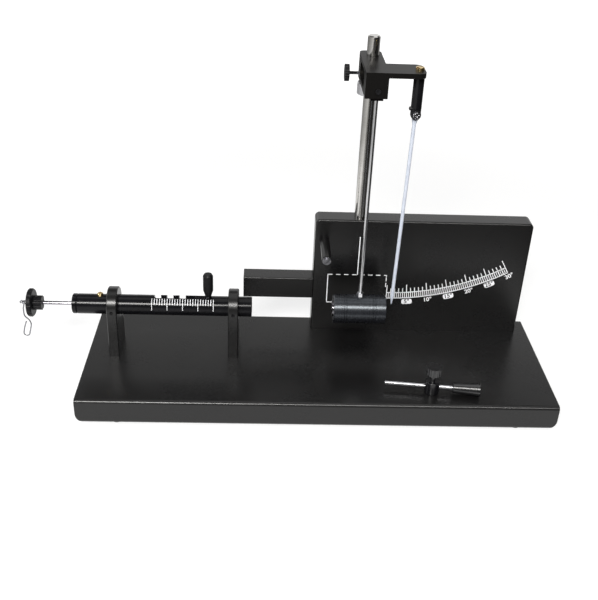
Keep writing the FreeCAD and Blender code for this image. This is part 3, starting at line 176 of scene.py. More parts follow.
class Shade:
    """Writes the node tree of a material or of the world."""

    def __init__(self, tree: bpy.types.NodeTree) -> None:
        """Empties the tree."""
        self.tree = tree
        tree.nodes.clear()

    def node(self, kind: str, settings: dict | None = None, values: dict | None = None,
             out: int | str = 0) -> Sock:
        """Adds any node.

        Args:
            kind: Blender's type of the node.
            settings: Properties to set first; "stops" gives a colour ramp's (place, colour) pairs.
            values: Number, colour or Sock for each input, by name or index.
            out: Name or index of the output to return.

        Returns:
            The chosen output.
        """
        made = self.tree.nodes.new(kind)
        for key, value in (settings or {}).items():
            if key == "stops":
                self.set_stops(made.color_ramp, value)
            else:
                setattr(made, key, value)
        for key, value in (values or {}).items():
            if isinstance(value, Sock):
                self.tree.links.new(value.out, made.inputs[key])
            else:
                made.inputs[key].default_value = value
        return Sock(self, made.outputs[out]) if made.outputs else Sock(self, None)

    @staticmethod
    def set_stops(ramp: bpy.types.ColorRamp, stops: Sequence[tuple[float, tuple]]) -> None:
        """Gives a colour ramp its stops."""
        while len(ramp.elements) < len(stops):
            ramp.elements.new(0.5)
        for element, (place, colour) in zip(ramp.elements, stops):
            element.position = place
            element.color = (*colour, 1.0)

    def coords(self) -> Sock:
        """Object coordinates, in metres."""
        return self.node("ShaderNodeTexCoord", out="Object")

    def noise(self, where: Sock, size_mm: float, detail: float = 2.0, roughness: float = 0.5) -> Sock:
        """Noise whose lumps are about size_mm across."""
        return self.node("ShaderNodeTexNoise", {}, {"Vector": where, "Scale": 1.0 / (size_mm * MM),
                                                    "Detail": detail, "Roughness": roughness})

    def mixed(self, factor: "Sock | float", low: Triple, high: "Triple | Sock") -> Sock:
        """Colour between low and high."""
        top = high if isinstance(high, Sock) else (*high, 1.0)
        return self.node("ShaderNodeMix", {"data_type": "RGBA"},
                         {0: factor, MIX_LOW: (*low, 1.0), MIX_HIGH: top}, out=MIX_RESULT)

    def ray(self, kind: str) -> Sock:
        """1 for rays of one kind, by the Light Path node's name for it, and 0 for the others."""
        return self.node("ShaderNodeLightPath", out=kind)

    def bump(self, height: Sock, depth_mm: float, strength: float = 1.0) -> Sock:
        """Normal from a height map that spans depth_mm."""
        return self.node("ShaderNodeBump", {}, {"Height": height, "Distance": depth_mm * MM,
                                                "Strength": strength})

    def rings(self, where: Sock, centre: Vector, axis: Axis, pitch_mm: float) -> Sock:
        """Lathe marks: noise that changes along the axis and with the distance from it, not round it."""
        mapped = self.node("ShaderNodeVectorMath", {"operation": "SUBTRACT"}, {0: where, 1: centre})
        run = self.node("ShaderNodeVectorMath", {"operation": "DOT_PRODUCT"},
                        {0: mapped, 1: axis.vector}, out="Value")
        whole = self.node("ShaderNodeVectorMath", {"operation": "LENGTH"}, {0: mapped}, out="Value")
        radial = (whole * whole - run * run).maths("ABSOLUTE").maths("SQRT")
        return self.node("ShaderNodeTexNoise", {"noise_dimensions": "1D"},
                         {"W": run + radial * RADIAL_WEIGHT, "Scale": 1.0 / (pitch_mm * MM), "Detail": 2.0})


@dataclass(frozen=True)
class Finish:
    """A surface finish; each kind writes its own nodes.

    The kinds have a colour and a second one for worn, dull, hazy, pale or thin places, their least and
    greatest roughness, the strength (shine) and the tint of their reflections, a point and the direction
    of the axis that they were turned about, and the width and depth of their grain or marks.

    Attributes:
        name: Name of the material.
        slot: Record slot that a piece with this finish belongs to; not used.
    """

    name: str
    slot: Slot

    def material(self) -> bpy.types.Material:
        """The material, made once."""
        known = bpy.data.materials.get(self.name)
        if known:
            return known
        made = bpy.data.materials.new(self.name)
        made.use_nodes = True
        shade = Shade(made.node_tree)
        surface = self.surface(shade)
        shade.node("ShaderNodeOutputMaterial", {}, {"Surface": surface})
        return made

    def surface(self, shade: Shade) -> Sock:
        """Writes the nodes and returns the shader."""
        raise NotImplementedError


@dataclass(frozen=True)
class PowderCoat(Finish):
    """Black powder coat with the fine leathery grain of baked paint and some haze."""

    colour: Triple = (0.0052, 0.0052, 0.0056)
    haze: Triple = (0.0092, 0.0088, 0.0086)
    roughness: Pair = (0.23, 0.33)
    shine: float = 0.46
    tint: Triple = (1.0, 1.0, 1.0)
    grain_mm: float = 0.55
    depth_mm: float = 0.014

    def surface(self, shade: Shade) -> Sock:
        """Cloudy base colour, grain in the bump and in the roughness, stray lint specks."""
        where = shade.coords()
        cloud = shade.noise(where, 46.0, 3.0, 0.55)
        grain = shade.noise(where, self.grain_mm, 2.0, 0.6)
        swell = shade.noise(where, self.grain_mm * 3.4, 1.0)
        lint = shade.noise(where, 1.6, 0.0).smooth_step(0.80, 0.84)
        gloss = (cloud * 0.7 + grain * 0.3).between(*self.roughness)
        tone = (cloud * 0.75 + lint * 0.8).maths("MINIMUM", 1.0)
        normal = shade.bump(grain * 0.65 + swell * 0.5, self.depth_mm, 0.7)
        return shade.node("ShaderNodeBsdfPrincipled", {}, {
            "Base Color": shade.mixed(tone, self.colour, self.haze), "Roughness": gloss,
            "Specular IOR Level": self.shine, "Specular Tint": (*self.tint, 1.0), "Normal": normal})


@dataclass(frozen=True)
class SatinBlack(Finish):
    """Black coat on turned metal, smooth enough for a sharp highlight, with faint lathe marks."""

    centre: Triple = (0.0, 0.0, 0.0)
    axis: Axis = Axis.X
    colour: Triple = (0.0045, 0.0045, 0.0055)
    worn: Triple = (0.009, 0.009, 0.011)
    roughness: Pair = (0.17, 0.25)
    shine: float = 0.27
    tint: Triple = (1.0, 1.0, 1.0)
    depth_mm: float = 0.0016

    def surface(self, shade: Shade) -> Sock:
        """Dark coat, ring marks in bump and gloss, smudges."""
        where = shade.coords()
        marks = shade.rings(where, Vector(self.centre) * MM, self.axis, 0.42)
        smudge = shade.noise(where, 17.0, 4.0, 0.62)
        speck = shade.noise(where, 0.8, 1.0)
        shine = (smudge * 0.6 + marks * 0.4).between(*self.roughness)
        tone = (smudge * 0.6 + marks * 0.4).smooth_step(0.35, 0.75)
        return shade.node("ShaderNodeBsdfPrincipled", {}, {
            "Base Color": shade.mixed(tone, self.colour, self.worn), "Roughness": shine,
            "Specular IOR Level": self.shine, "Specular Tint": (*self.tint, 1.0),
            "Normal": shade.bump(marks * 0.8 + speck * 0.3, self.depth_mm, 0.8)})


@dataclass(frozen=True)
class TurnedMetal(Finish):
    """Bare or plated metal with lathe or drawing marks round its axis."""

    colour: Triple = (0.78, 0.78, 0.79)
    dull: Triple = (0.6, 0.6, 0.62)
    roughness: Pair = (0.05, 0.14)
    centre: Triple = (0.0, 0.0, 0.0)
    axis: Axis = Axis.Z
    pitch_mm: float = 0.3
    depth_mm: float = 0.002

    def surface(self, shade: Shade) -> Sock:
        """Metal whose tint and gloss follow the marks and a faint haze."""
        where = shade.coords()
        marks = shade.rings(where, Vector(self.centre) * MM, self.axis, self.pitch_mm)
        haze = shade.noise(where, 9.0, 4.0, 0.6)
        tone = (haze * 0.65 + marks * 0.35).smooth_step(0.3, 0.75)
        shine = (haze * 0.5 + marks * 0.5).between(*self.roughness)
        return shade.node("ShaderNodeBsdfPrincipled", {}, {
            "Base Color": shade.mixed(tone, self.colour, self.dull), "Metallic": 1.0, "Roughness": shine,
            "Normal": shade.bump(marks, self.depth_mm, 0.6)})


@dataclass(frozen=True)
class Plastic(Finish):
    """Moulded plastic with a fine mould texture."""

    colour: Triple = (0.005, 0.005, 0.0058)
    pale: Triple = (0.009, 0.009, 0.0102)
    roughness: Pair = (0.32, 0.48)
    shine: float = 0.35
    grain_mm: float = 0.4
    depth_mm: float = 0.01

    def surface(self, shade: Shade) -> Sock:
        """Slightly uneven colour with a grained skin."""
        where = shade.coords()
        cloud = shade.noise(where, 7.0, 3.0)
        grain = shade.noise(where, self.grain_mm, 2.0, 0.55)
        tone = (cloud * 0.7 + grain * 0.3).smooth_step(0.3, 0.7)
        return shade.node("ShaderNodeBsdfPrincipled", {}, {
            "Base Color": shade.mixed(tone, self.colour, self.pale),
            "Roughness": (cloud * 0.5 + grain * 0.5).between(*self.roughness),
            "Specular IOR Level": self.shine, "Normal": shade.bump(grain, self.depth_mm, 0.6)})


@dataclass(frozen=True)
class Ink(Finish):
    """Screen-printed ink, a little uneven in cover."""

    colour: Triple = (0.93, 0.94, 0.97)
    thin: Triple = (0.8, 0.81, 0.84)

    def surface(self, shade: Shade) -> Sock:
        """Matt ink, duller where the cover is thin."""
        where = shade.coords()
        cover = shade.noise(where, 1.1, 3.0, 0.6)
        return shade.node("ShaderNodeBsdfPrincipled", {}, {
            "Base Color": shade.mixed(cover.smooth_step(0.55, 0.75), self.colour, self.thin),
            "Roughness": cover.between(0.45, 0.6), "Normal": shade.bump(cover, 0.01, 0.4)})


POWDER = PowderCoat("powder_coat_black", Slot.POWDER_BLACK)
MILLED = PowderCoat("milled_block_black", Slot.SATIN_BLACK, colour=(0.0052, 0.005, 0.0052), shine=0.09,
                    haze=(0.0095, 0.009, 0.0086), roughness=(0.31, 0.42), tint=(1.0, 0.93, 0.8),
                    grain_mm=0.35, depth_mm=0.008)
BARREL_COAT = SatinBlack("barrel_coat_black", Slot.SATIN_BLACK, centre=(0.0, 16.0, 84.5), axis=Axis.X,
                         roughness=(0.15, 0.21), shine=0.2)
BOB_COAT = SatinBlack("bob_coat_black", Slot.SATIN_BLACK, centre=(45.5, 16.0, 84.5), axis=Axis.X,
                      colour=(0.0055, 0.0058, 0.0078), worn=(0.012, 0.0125, 0.0165), roughness=(0.22, 0.32),
                      shine=1.0, tint=(0.86, 0.93, 1.0), depth_mm=0.003)
POST_COAT = PowderCoat("post_coat_black", Slot.SATIN_BLACK, shine=0.2, grain_mm=1.0, depth_mm=0.06)
BLACKENED = SatinBlack("blackened_steel", Slot.SATIN_BLACK, centre=(45.5, 16.0, 330.4), axis=Axis.Y,
                       worn=(0.016, 0.016, 0.018), roughness=(0.3, 0.44), shine=0.35, depth_mm=0.006)
HANGER_COAT = SatinBlack("hanger_coat_black", Slot.SATIN_BLACK, centre=(85.8, 22.0, 0.0), axis=Axis.Z)
STOP_COAT = SatinBlack("depth_stop_black", Slot.SATIN_BLACK, centre=(119.7, -62.1, 0.0), axis=Axis.Z,
                       shine=0.5, roughness=(0.12, 0.2))
COLUMN_CHROME = TurnedMetal("column_chrome", Slot.CHROME, centre=(45.0, 70.0, 0.0), axis=Axis.Z,
                            colour=(0.6, 0.59, 0.57), dull=(0.5, 0.485, 0.46), pitch_mm=1.1, depth_mm=0.0012)
ROD_CHROME = TurnedMetal("rod_chrome", Slot.CHROME, centre=(45.5, 16.0, 0.0), axis=Axis.Z,
                         colour=(0.66, 0.66, 0.67), dull=(0.56, 0.56, 0.57), depth_mm=0.0008)
PLUNGER_CHROME = TurnedMetal("plunger_chrome", Slot.CHROME, centre=(0.0, 16.0, 84.5), axis=Axis.X,
                             colour=(0.4, 0.39, 0.42), dull=(0.32, 0.31, 0.34), depth_mm=0.0008)
BRIGHT_CHROME = TurnedMetal("bright_chrome", Slot.CHROME, colour=(0.66, 0.66, 0.68), dull=(0.55, 0.55, 0.58),
                            pitch_mm=0.8, roughness=(0.04, 0.1), depth_mm=0.0008)
ZINC = TurnedMetal("zinc_plate", Slot.ZINC, colour=(0.34, 0.34, 0.36), dull=(0.22, 0.22, 0.24),
                   roughness=(0.2, 0.36), pitch_mm=0.5, depth_mm=0.006)
BRASS = TurnedMetal("turned_brass", Slot.BRASS, colour=(0.83, 0.66, 0.36), dull=(0.62, 0.45, 0.2),
                    roughness=(0.14, 0.28), centre=(85.8, 22.0, 0.0), axis=Axis.Z, depth_mm=0.006)
ALUMINIUM = TurnedMetal("turned_aluminium", Slot.ALUMINIUM, colour=(0.84, 0.84, 0.86),
                        dull=(0.68, 0.68, 0.71), roughness=(0.28, 0.42), centre=(45.0, 70.0, 0.0),
                        axis=Axis.Z, pitch_mm=0.5, depth_mm=0.012)
BLACK_PLASTIC = Plastic("moulded_black_plastic", Slot.BLACK_PLASTIC, shine=0.16)
GLOSS_PLASTIC = Plastic("polished_black_plastic", Slot.BLACK_PLASTIC, colour=(0.004, 0.004, 0.0048),
                        pale=(0.007, 0.007, 0.008), roughness=(0.18, 0.28), shine=0.9, depth_mm=0.003)
WHITE_PLASTIC = Plastic("milky_white_plastic", Slot.WHITE_PLASTIC, colour=(0.55, 0.60, 0.70),
                        pale=(0.64, 0.68, 0.77), roughness=(0.22, 0.34), depth_mm=0.006)
RUBBER = Plastic("foot_rubber", Slot.RUBBER, colour=(0.013, 0.013, 0.013), pale=(0.03, 0.03, 0.029),
                 roughness=(0.7, 0.85), grain_mm=0.3, depth_mm=0.03)
WHITE_INK = Ink("white_ink", Slot.POWDER_BLACK)
BLACK_INK = Ink("black_ink", Slot.POWDER_BLACK, colour=(0.02, 0.02, 0.022), thin=(0.05, 0.05, 0.055))


# Mesh making


def linked(name: str, data: bpy.types.ID) -> bpy.types.Object:
    """New object in the scene for a mesh, a text, a lamp or the camera."""
    made = bpy.data.objects.new(name, data)
    bpy.context.scene.collection.objects.link(made)
    return made


def soften(bm: BMesh, width_mm: float, sharp_deg: float = 32.0, segments: int = 2) -> None:
    """Rounds every edge of a mesh that turns by more than an angle.

    Args:
        bm: Mesh to round.
        width_mm: Width of the rounding.
        sharp_deg: Angle past which an edge counts as sharp.
        segments: Faces across the rounding.
    """
    limit = math.radians(sharp_deg)
    edges = [e for e in bm.edges if len(e.link_faces) == 2 and e.calc_face_angle(0.0) > limit]
    if edges and width_mm > 0:
        bmesh.ops.bevel(bm, geom=edges, offset=width_mm * MM, offset_type="OFFSET", affect="EDGES",
                        segments=segments, profile=0.5, material=-1, clamp_overlap=True)


def placed(name: str, bm: BMesh, finish: Finish, body: Body, nodes: Iterable[str] = ()) -> bpy.types.Object:
    """Turns a mesh into a finished piece that rides on its body.

    Args:
        name: Name of the piece.
        bm: Its mesh, in place; freed here.
        finish: Its finish.
        body: The body that carries it.
        nodes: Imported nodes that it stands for.

    Returns:
        The new object.
    """
    for face in bm.faces:
        face.smooth = True
    for edge in bm.edges:
        edge.smooth = len(edge.link_faces) != 2 or edge.calc_face_angle(0.0) < math.radians(SHARP_DEG)
    mesh = bpy.data.meshes.new(name)
    bm.to_mesh(mesh)
    bm.free()
    mesh.materials.append(finish.material())
    piece = linked(name, mesh)
    even = piece.modifiers.new("even shading", "WEIGHTED_NORMAL")
    even.keep_sharp = True
    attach(piece, body.value)
    if nodes:
        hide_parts(*nodes)
    LOG.info("%s: %d faces", name, len(mesh.polygons))
    return piece


def merged_copy(node: str) -> BMesh:
    """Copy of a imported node's mesh with its loose triangles joined into whole faces."""
    bm = bmesh.new()
    bm.from_mesh(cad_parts[node].data)
    bmesh.ops.remove_doubles(bm, verts=bm.verts, dist=PACKED_MERGE)
    bmesh.ops.dissolve_limit(bm, angle_limit=math.radians(FLAT_DEG), verts=bm.verts, edges=bm.edges)
    return bm


def dressed(node: str, finish: Finish, body: Body, rounding_mm: float = 0.2, sharp_deg: float = 32.0,
            segments: int = 2) -> bpy.types.Object:
    """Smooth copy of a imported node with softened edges.

    Args:
        node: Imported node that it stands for.
        finish: Its finish.
        body: The body that carries it.
        rounding_mm: Width of the softened edges.
        sharp_deg: Angle past which an edge is softened.
        segments: Faces across a softened edge.

    Returns:
        The new object.
    """
    bm = merged_copy(node)
    soften(bm, rounding_mm, sharp_deg, segments)
    return placed(f"{node}_dressed", bm, finish, body, [node])


def turned(profile: Sequence[Pair], base: Sequence[float], along: Vector, steps: int = 64,
           rounding_mm: float = 0.0) -> BMesh:
    """Solid of revolution.

    Args:
        profile: (distance along the axis, radius) pairs in millimetres, from the axis back to the
            axis, or a closed ring where the piece is hollow.
        base: Point of the axis where the distance is 0, in millimetres.
        along: Direction of the axis.
        steps: Faces round the piece.
        rounding_mm: Width of the softened edges.

    Returns:
        The mesh, in place.
    """
    bm = bmesh.new()
    verts = [bm.verts.new((radius * MM, 0.0, run * MM)) for run, radius in profile]
    edges = [bm.edges.new(pair) for pair in zip(verts, verts[1:])]
    if profile[0][1] > 0 and profile[-1][1] > 0:
        edges.append(bm.edges.new((verts[-1], verts[0])))
    bmesh.ops.spin(bm, geom=[*verts, *edges], cent=(0, 0, 0), axis=(0, 0, 1), angle=2 * math.pi, steps=steps,
                   use_merge=True, use_duplicate=False)
    bmesh.ops.remove_doubles(bm, verts=bm.verts, dist=MERGE)
    bmesh.ops.recalc_face_normals(bm, faces=bm.faces)
    soften(bm, rounding_mm)
    turn = along.to_track_quat("Z", "Y").to_matrix().to_4x4()
    bmesh.ops.transform(bm, matrix=Matrix.Translation(Vector(base) * MM) @ turn, verts=bm.verts)
    return bm


def threaded(radius: float, length: float, pitch: float, depth: float) -> list[Pair]:
    """Profile of a screw's shank, its thread drawn as rings.

    Args:
        radius: Outer radius, in millimetres as the rest.
        length: Length of the shank.
        pitch: Distance between crests.
        depth: Depth of the thread.

    Returns:
        (distance along the axis, radius) pairs from the axis back to the axis.
    """
    turns = max(1, round(length / pitch))
    step = length / turns
    profile = [(0.0, 0.0), (0.0, radius - depth)]
    for k in range(turns):
        profile += [((k + 0.5) * step, radius), ((k + 1) * step, radius - depth)]
    return [*profile, (length, 0.0)]


def cut_by(bm: BMesh, tool: BMesh) -> BMesh:
    """Takes one closed mesh out of another.

    Args:
        bm: Mesh that loses material; freed here.
        tool: Mesh that is taken away; freed here.

    Returns:
        The rest.
    """
    holders = []
    for name, source in (("kept", bm), ("tool", tool)):
        mesh = bpy.data.meshes.new(name)
        source.to_mesh(mesh)
        source.free()
        holders.append(linked(name, mesh))
    cut = holders[0].modifiers.new("cut", "BOOLEAN")
    cut.operation = "DIFFERENCE"
    cut.solver = "EXACT"
    cut.object = holders[1]
    graph = bpy.context.evaluated_depsgraph_get()
    rest = bmesh.new()
    rest.from_mesh(holders[0].evaluated_get(graph).to_mesh())
    for holder in holders:
        mesh = holder.data
        bpy.data.objects.remove(holder)
        bpy.data.meshes.remove(mesh)
    return rest


def move_into(bm: BMesh, piece: BMesh) -> None:
    """Adds one mesh to another and frees it."""
    part = bpy.data.meshes.new("part")
    piece.to_mesh(part)
    piece.free()
    bm.from_mesh(part)
    bpy.data.meshes.remove(part)


def bar(bm: BMesh, cuts: int, place: Callable[[Vector], Vector]) -> None:
    """Adds a unit cube, cut across its X, whose corners a function puts where they belong.

    Args:
        bm: Mesh that receives the bar.
        cuts: Cuts across its length.
        place: Gives the final place, in metres, of a point of the cube from -0.5 to 0.5.
    """
    piece = bmesh.new()
    bmesh.ops.create_cube(piece, size=1.0)
    if cuts:
        long_edges = [e for e in piece.edges if abs(e.verts[0].co.x - e.verts[1].co.x) > 0.5]
        bmesh.ops.subdivide_edges(piece, edges=long_edges, cuts=cuts)
    for vert in piece.verts:
        vert.co = place(vert.co.copy())
    bmesh.ops.recalc_face_normals(piece, faces=piece.faces)
    move_into(bm, piece)


# The object's own sub-assemblies


@dataclass
class BaseTray:
    """Folded tray with its feet and the fasteners under it."""

    fold_mm: float = 0.35

    def build(self) -> None:
        """Makes the tray's pieces."""
        dressed("base_tray", POWDER, Body.FRAME, self.fold_mm)
        dressed("rubber_feet", RUBBER, Body.FRAME, 0.3)
        dressed("base_screws", ZINC, Body.FRAME, 0.2)
        dressed("column_bolt", ZINC, Body.FRAME, 0.25)


@dataclass
class ArcPrint:
    """White print on the front of the panel: degree scale, its figures and the outline of the bob.

    Attributes:
        centre: X and Z of the arc's centre.
        face_y: Front face of the panel.
        ink: Thickness of the ink.
        arcs: Mean radii of the ladder's two lines.
        line: Width of the ladder's lines.
        tops: Radii where the 5, 1 and half degree marks end.
        mark_widths: Widths of the whole and of the half degree marks.
        arc_cuts: Cuts across each of the ladder's lines.
        label_radius: Radius of the middle of the figures.
        label_box: Width and height of the white fields.
        label_corner: Radius of the fields' corners, as a share of their height.
        label_step: Degrees between figures.
        figure_height: Size of the figures.
        figure_weight: Thickening of the figures' strokes.
        proud: Place of the figures' ink on the bare panel and on a field, in thicknesses of ink.
        last_degree: End of the scale.
        outline_x: Left and right of the bob's outline.
        outline_z: Foot and top of the bob's outline.
        outline_line: Width of its lines.
        dashes: Number of dashes in the outline's top.
        dash: Length of a dash and distance between two starts.
        corner: Reach of a line past the middle of the line that it meets.
        foot_line: Length of the outline's foot.
        right_dashes: Heights between which the outline's right side is printed.
        plumb: X and upper end of the plumb line.
    """

    centre: Pair = (81.2, 345.7)
    face_y: float = 59.2
    ink: float = 0.06
    arcs: Pair = (264.7, 271.8)
    line: float = 1.15
    tops: Triple = (254.8, 259.2, 264.7)
    mark_widths: Pair = (0.95, 0.75)
    arc_cuts: int = 90
    label_radius: float = 276.9
    label_box: Pair = (12.2, 6.6)
    label_corner: float = 0.36
    label_step: int = 5
    figure_height: float = 7.2
    figure_weight: float = 0.16
    proud: Pair = (0.5, 1.6)
    last_degree: int = 30
    outline_x: Pair = (12.6, 79.3)
    outline_z: Pair = (67.1, 103.5)
    outline_line: float = 1.0
    dashes: int = 8
    dash: Pair = (5.1, 9.1)
    corner: float = 0.45
    foot_line: float = 6.4
    right_dashes: tuple[Pair, ...] = ((88.4, 93.6), (96.0, 101.0), (101.8, 103.95))
    plumb: Pair = (46.0, 151.2)

    def at(self, radius: float, degrees: float, proud: float = 0.0) -> Matrix:
        """Placing matrix at a point of the arc, its Y towards the centre and its Z out of the panel."""
        a = math.radians(degrees)
        right = Vector((math.cos(a), 0.0, math.sin(a)))
        up = Vector((-math.sin(a), 0.0, math.cos(a)))
        out = Vector((0.0, -1.0, 0.0))
        spot = Vector((self.centre[0] + radius * math.sin(a), self.face_y - proud,
                       self.centre[1] - radius * math.cos(a))) * MM
        matrix = Matrix((right, up, out)).transposed().to_4x4()
        matrix.translation = spot
        return matrix

    def mark(self, bm: BMesh, degrees: float, inner: float, outer: float, width: float) -> None:
        """Adds one radial mark."""
        matrix = self.at((inner + outer) / 2, degrees)
        length = outer - inner
        bar(bm, 0, lambda p: matrix @ (Vector((p.x * width, p.y * length, (p.z + 0.5) * self.ink)) * MM))

    def arc(self, bm: BMesh, radius: float, width: float, end: float) -> None:
        """Adds one line of the ladder."""
        def place(p: Vector) -> Vector:
            """Bends a straight bar round the arc."""
            matrix = self.at(radius + p.y * width, (p.x + 0.5) * end)
            return matrix @ Vector((0.0, 0.0, (p.z + 0.5) * self.ink * MM))
        bar(bm, self.arc_cuts, place)

    def straight(self, bm: BMesh, start: Pair, end: Pair) -> None:
        """Adds a straight printed line between two points of the panel, given as X and Z."""
        a = Vector((start[0], self.face_y, start[1])) * MM
        b = Vector((end[0], self.face_y, end[1])) * MM
        along = (b - a).normalized()
        side = along.cross(Vector((0.0, 1.0, 0.0)))
        bar(bm, 0, lambda p: a + (b - a) * (p.x + 0.5) + side * p.y * self.outline_line * MM
            - Vector((0.0, (p.z + 0.5) * self.ink * MM, 0.0)))

    def figure(self, text: str, degrees: float, proud: float) -> BMesh:
        """Mesh of one figure of the scale, in place."""
        curve = bpy.data.curves.new("figure", "FONT")
        curve.body = text
        curve.size = self.figure_height * MM
        curve.extrude = self.ink * MM / 2
        curve.offset = self.figure_weight * MM
        curve.align_x = "CENTER"
        curve.align_y = "CENTER"
        holder = linked("figure", curve)
        graph = bpy.context.evaluated_depsgraph_get()
        mesh = bpy.data.meshes.new_from_object(holder.evaluated_get(graph))
        bpy.data.objects.remove(holder)
        bpy.data.curves.remove(curve)
        bm = bmesh.new()
        bm.from_mesh(mesh)
        bpy.data.meshes.remove(mesh)
        bmesh.ops.remove_doubles(bm, verts=bm.verts, dist=MERGE)
        bmesh.ops.transform(bm, matrix=self.at(self.label_radius, degrees, proud), verts=bm.verts)
        return bm

    def boxes(self) -> BMesh:
        """Rounded white fields under the dark figures."""
        bm = bmesh.new()
        for degrees in range(self.label_step, self.last_degree, 2 * self.label_step):
            field = bmesh.new()
            bmesh.ops.create_cube(field, size=1.0)
            bmesh.ops.scale(field, vec=(self.label_box[0] * MM, self.label_box[1] * MM, self.ink * MM),
                            verts=field.verts)
            corners = [e for e in field.edges if abs(e.verts[0].co.z - e.verts[1].co.z) > self.ink * MM / 2]
            bmesh.ops.bevel(field, geom=corners, offset=self.label_box[1] * MM * self.label_corner,
                            affect="EDGES", segments=6, profile=0.5, material=-1)
            bmesh.ops.transform(field, matrix=self.at(self.label_radius, degrees, self.ink / 2),
                                verts=field.verts)
            move_into(bm, field)
        return bm

    def lines(self) -> BMesh:
        """Ladder of arcs and marks."""
        bm = bmesh.new()
        for radius in self.arcs:
            self.arc(bm, radius, self.line, self.last_degree)
        for half in range(2 * self.last_degree + 1):
            degrees = half / 2
            rank = 0 if degrees % self.label_step == 0 else 1 + half % 2
            self.mark(bm, degrees, self.tops[rank], self.arcs[1], self.mark_widths[half % 2])
        return bm

    def bob_outline(self) -> BMesh:
        """Dashed outline of the resting bob and the plumb line above it."""
        bm = bmesh.new()
        (left, right), (foot, top) = self.outline_x, self.outline_z
        dash, pitch = self.dash
        for k in range(self.dashes):
            start = left + k * pitch
            self.straight(bm, (start, top), (min(start + dash, right), top))
        self.straight(bm, (left, top + self.corner), (left, foot))
        self.straight(bm, (left - self.corner, foot), (left + self.foot_line, foot))
        for low, high in self.right_dashes:
            self.straight(bm, (right, low), (right, high))
        self.straight(bm, (self.plumb[0], top), self.plumb)
        return bm

    def build(self) -> None:
        """Makes the print's pieces."""
        placed("scale_lines", self.lines(), WHITE_INK, Body.FRAME)
        placed("bob_outline", self.bob_outline(), WHITE_INK, Body.FRAME)
        placed("figure_fields", self.boxes(), WHITE_INK, Body.FRAME)
        for degrees in range(self.label_step, self.last_degree + 1, self.label_step):
            dark = degrees % (2 * self.label_step) == self.label_step
            mesh = self.figure(f"{degrees}°", degrees, self.ink * self.proud[dark])
            placed(f"figure_{degrees}", mesh, BLACK_INK if dark else WHITE_INK, Body.FRAME)


@dataclass
class ScalePanel:
    """Folded panel, the closed bar beside it and the stop post."""

    fold_mm: float = 0.3

    def build(self) -> None:
        """Makes the panel's pieces."""
        dressed("scale_panel", POWDER, Body.FRAME, self.fold_mm)
        dressed("panel_side_bar", POWDER, Body.FRAME, self.fold_mm)
        dressed("stop_post", POST_COAT, Body.FRAME, 0.5)
        dressed("stop_post_screw", ZINC, Body.FRAME, 0.15)
        ArcPrint().build()


@dataclass
class Column:
    """Chromed column with its stop collar."""

    def build(self) -> None:
        """Makes the column's pieces."""
        dressed("column", COLUMN_CHROME, Body.FRAME, 0.0)
        dressed("stop_collar", ALUMINIUM, Body.COLLAR, 0.2)
        dressed("stop_collar_screw", ZINC, Body.COLLAR, 0.1)


@dataclass
class PivotBlock:
    """Block on the column with its arm, pivot screw and clamp.

    Attributes:
        thread: Pitch and depth of the clamp screw's thread.
    """

    thread: Pair = (0.9, 0.3)

    def build(self) -> None:
        """Makes the block's pieces."""
        dressed("pendulum_block", MILLED, Body.BLOCK, 0.45)
        dressed("pendulum_pivot", BLACKENED, Body.BLOCK, 0.25)
        dressed("arm_screw", BRASS, Body.BLOCK, 0.15)
        low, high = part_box("clamp_screw")
        start = Vector((low[0], (low[1] + high[1]) / 2, (low[2] + high[2]) / 2)) / MM
        profile = threaded((high[2] - low[2]) / 2 / MM, (high[0] - low[0]) / MM, *self.thread)
        shank = turned(profile, start, Axis.X.vector, 32)
        placed("clamp_screw_thread", shank, ZINC, Body.CLAMP, ["clamp_screw"])
        dressed("clamp_knob", BLACK_PLASTIC, Body.CLAMP, 0.3)


@dataclass
class Pendulum:
    """Hanger, rod and bob."""

    def build(self) -> None:
        """Makes the pendulum's pieces."""
        dressed("pendulum_hub", MILLED, Body.PENDULUM, 0.3)
        dressed("pendulum_rod", ROD_CHROME, Body.PENDULUM, 0.0)
        dressed("rod_nut", BRIGHT_CHROME, Body.PENDULUM, 0.2)
        dressed("bob", BOB_COAT, Body.PENDULUM, 0.12)
        dressed("bob_liner", PLUNGER_CHROME, Body.PENDULUM, 0.1)


@dataclass
class TrailingPointer:
    """Hanger bar under the arm and the needle that the bob carries along.

    Attributes:
        friction_screw: Profile of the small screw in the bar's left side.
        friction_place: Point of the bar's left side that it sits on.
    """

    friction_screw: tuple[Pair, ...] = ((-2.6, 0.0), (-2.6, 1.9), (0.4, 1.9), (0.9, 1.2), (0.9, 0.0))
    friction_place: Triple = (79.5, 20.5, 310.9)

    def build(self) -> None:
        """Makes the pointer's pieces."""
        dressed("pointer_bar", HANGER_COAT, Body.BLOCK, 0.35)
        dressed("pointer_pivot", BRIGHT_CHROME, Body.BLOCK, 0.2)
        dressed("pointer_washer", BLACKENED, Body.BLOCK, 0.1)
        screw = turned(self.friction_screw, self.friction_place, Axis.X_BACK.vector, 32, 0.2)
        placed("pointer_friction_screw", screw, BLACKENED, Body.BLOCK)
        dressed("pointer_needle", WHITE_PLASTIC, Body.POINTER, 0.15)


